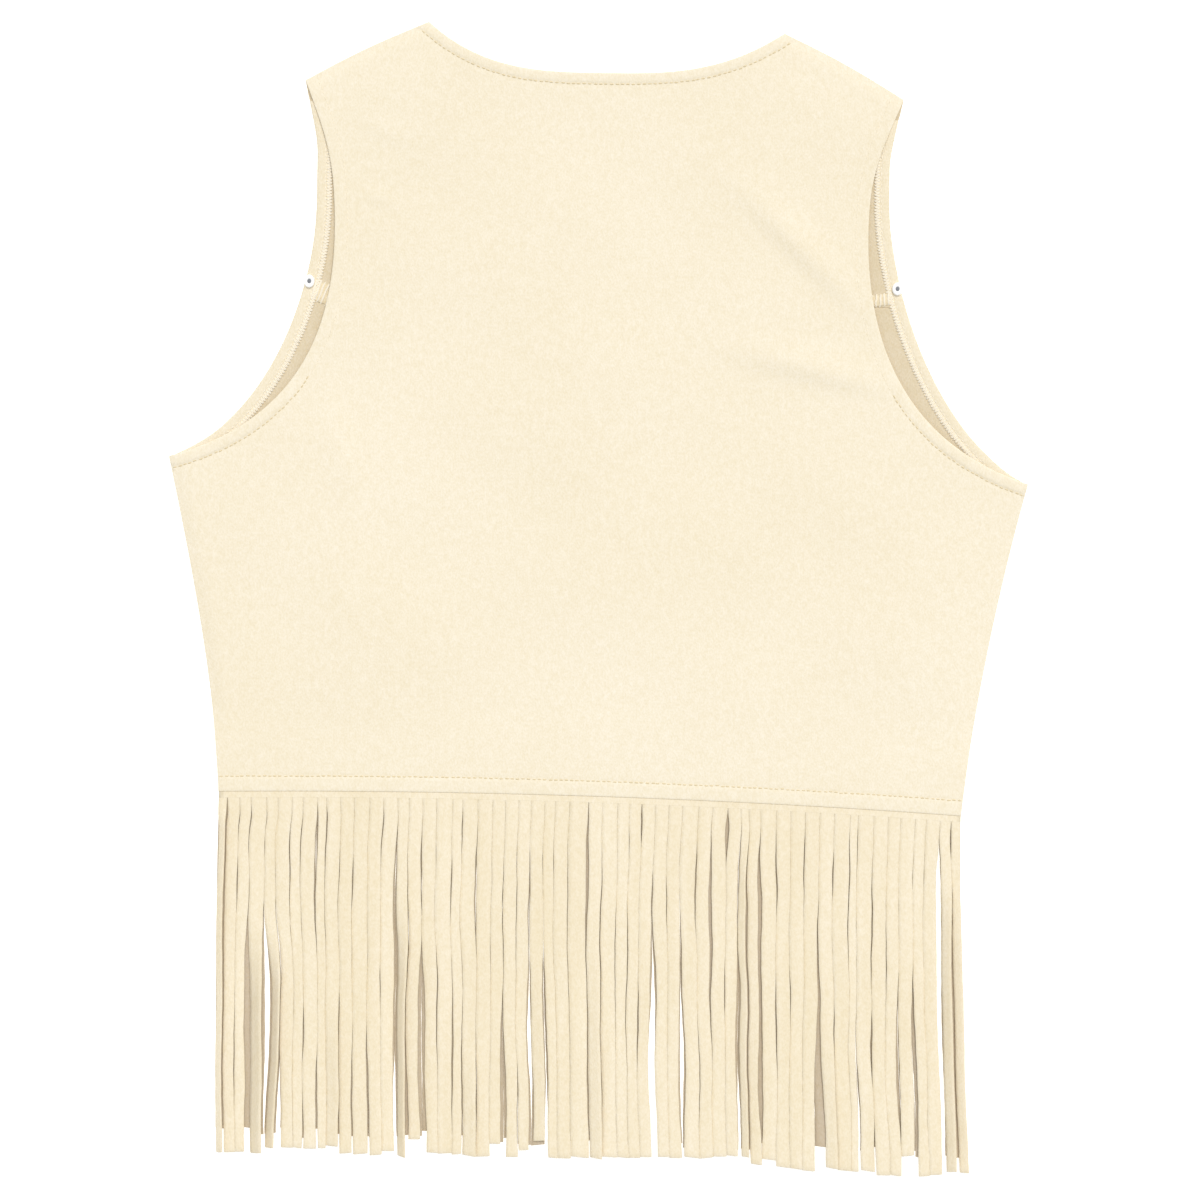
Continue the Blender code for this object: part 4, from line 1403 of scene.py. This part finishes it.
# %% Rides and sizes
def declare(piece, nodes=()):
    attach(piece, "root")
    if nodes:
        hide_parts(*nodes)


declare(back, ["back_panel"])
declare(back_stitches)
declare(armhole_stitches)
for side in SIDES:
    declare(fronts[side], [f"front_{side}"])
    declare(yokes[side], [f"yoke_{side}"])
    declare(strips[side], [f"armhole_hem_{side}"])
    declare(allowances[side], [f"yoke_seam_{side}"])
    declare(inside_threads[side])
    declare(beads[side], [f"bead_{side}"])
for name, piece in fringes.items():
    declare(piece, [name])


def flat_size(piece):
    """Width and length of a laid piece."""
    return tuple(np.ptp(np.array(piece.bound_box), axis=0)[:2])


fringe_back = fringes.pop("fringe_back")
print("back as cut:", [round(float(size), 3) for size in flat_size(back)], "m, fringe:",
      [round(float(size), 3) for size in flat_size(fringe_back)], "m")

# %% [markdown]
# ## Floor, light and camera
#
# The floor is white and faintly lit from below, as on a light table, so that no
# shadow of the thin cloth shows round it. One large soft light from the upper right
# draws the folds, and the camera looks straight down, turned as the photograph was.

# %% Set the scene
FLOOR_WHITE, FLOOR_GLOW, FLOOR_DROP = (0.97, 0.97, 0.97), 0.45, 0.0001
ROOM_LIGHT, LAMP_LIGHT, LAMP_SOFTNESS = 0.50, 2.07, 35
LIGHT_TILT, LIGHT_TURN = 25, -20
FRAME_WIDTH, FRAME_MIDDLE, PHOTO_TURN = 0.672, (0.0032, -0.0028), 1.9

floor_finish = plain("floor", FLOOR_WHITE, 1.0, emission=FLOOR_GLOW)
bpy.ops.mesh.primitive_plane_add(size=6, location=(0, 0, -FLOOR_DROP))
floor = bpy.context.object
floor.name = "floor"
floor.data.materials.append(floor_finish)

world = bpy.data.worlds.new("studio")
world.use_nodes = True
background = world.node_tree.nodes["Background"]
background.inputs["Color"].default_value = (1, 1, 1, 1)
background.inputs["Strength"].default_value = ROOM_LIGHT
bpy.context.scene.world = world

lamp = bpy.data.lights.new("soft_light", "SUN")
lamp.energy, lamp.angle = LAMP_LIGHT, math.radians(LAMP_SOFTNESS)
lamp_object = bpy.data.objects.new("soft_light", lamp)
lamp_object.rotation_euler = (math.radians(-LIGHT_TILT), 0, math.radians(LIGHT_TURN))
bpy.context.scene.collection.objects.link(lamp_object)

camera = bpy.data.cameras.new("camera")
camera.sensor_width, camera.lens = 36, 100
camera_object = bpy.data.objects.new("camera", camera)
camera_object.location = (*FRAME_MIDDLE, FRAME_WIDTH * camera.lens / camera.sensor_width)
camera_object.rotation_euler = (0, 0, math.radians(PHOTO_TURN))
bpy.context.scene.collection.objects.link(camera_object)
bpy.context.scene.camera = camera_object
bpy.context.scene.view_settings.view_transform = "Standard"
print("camera", round(camera_object.location.z, 3), "m above the floor")
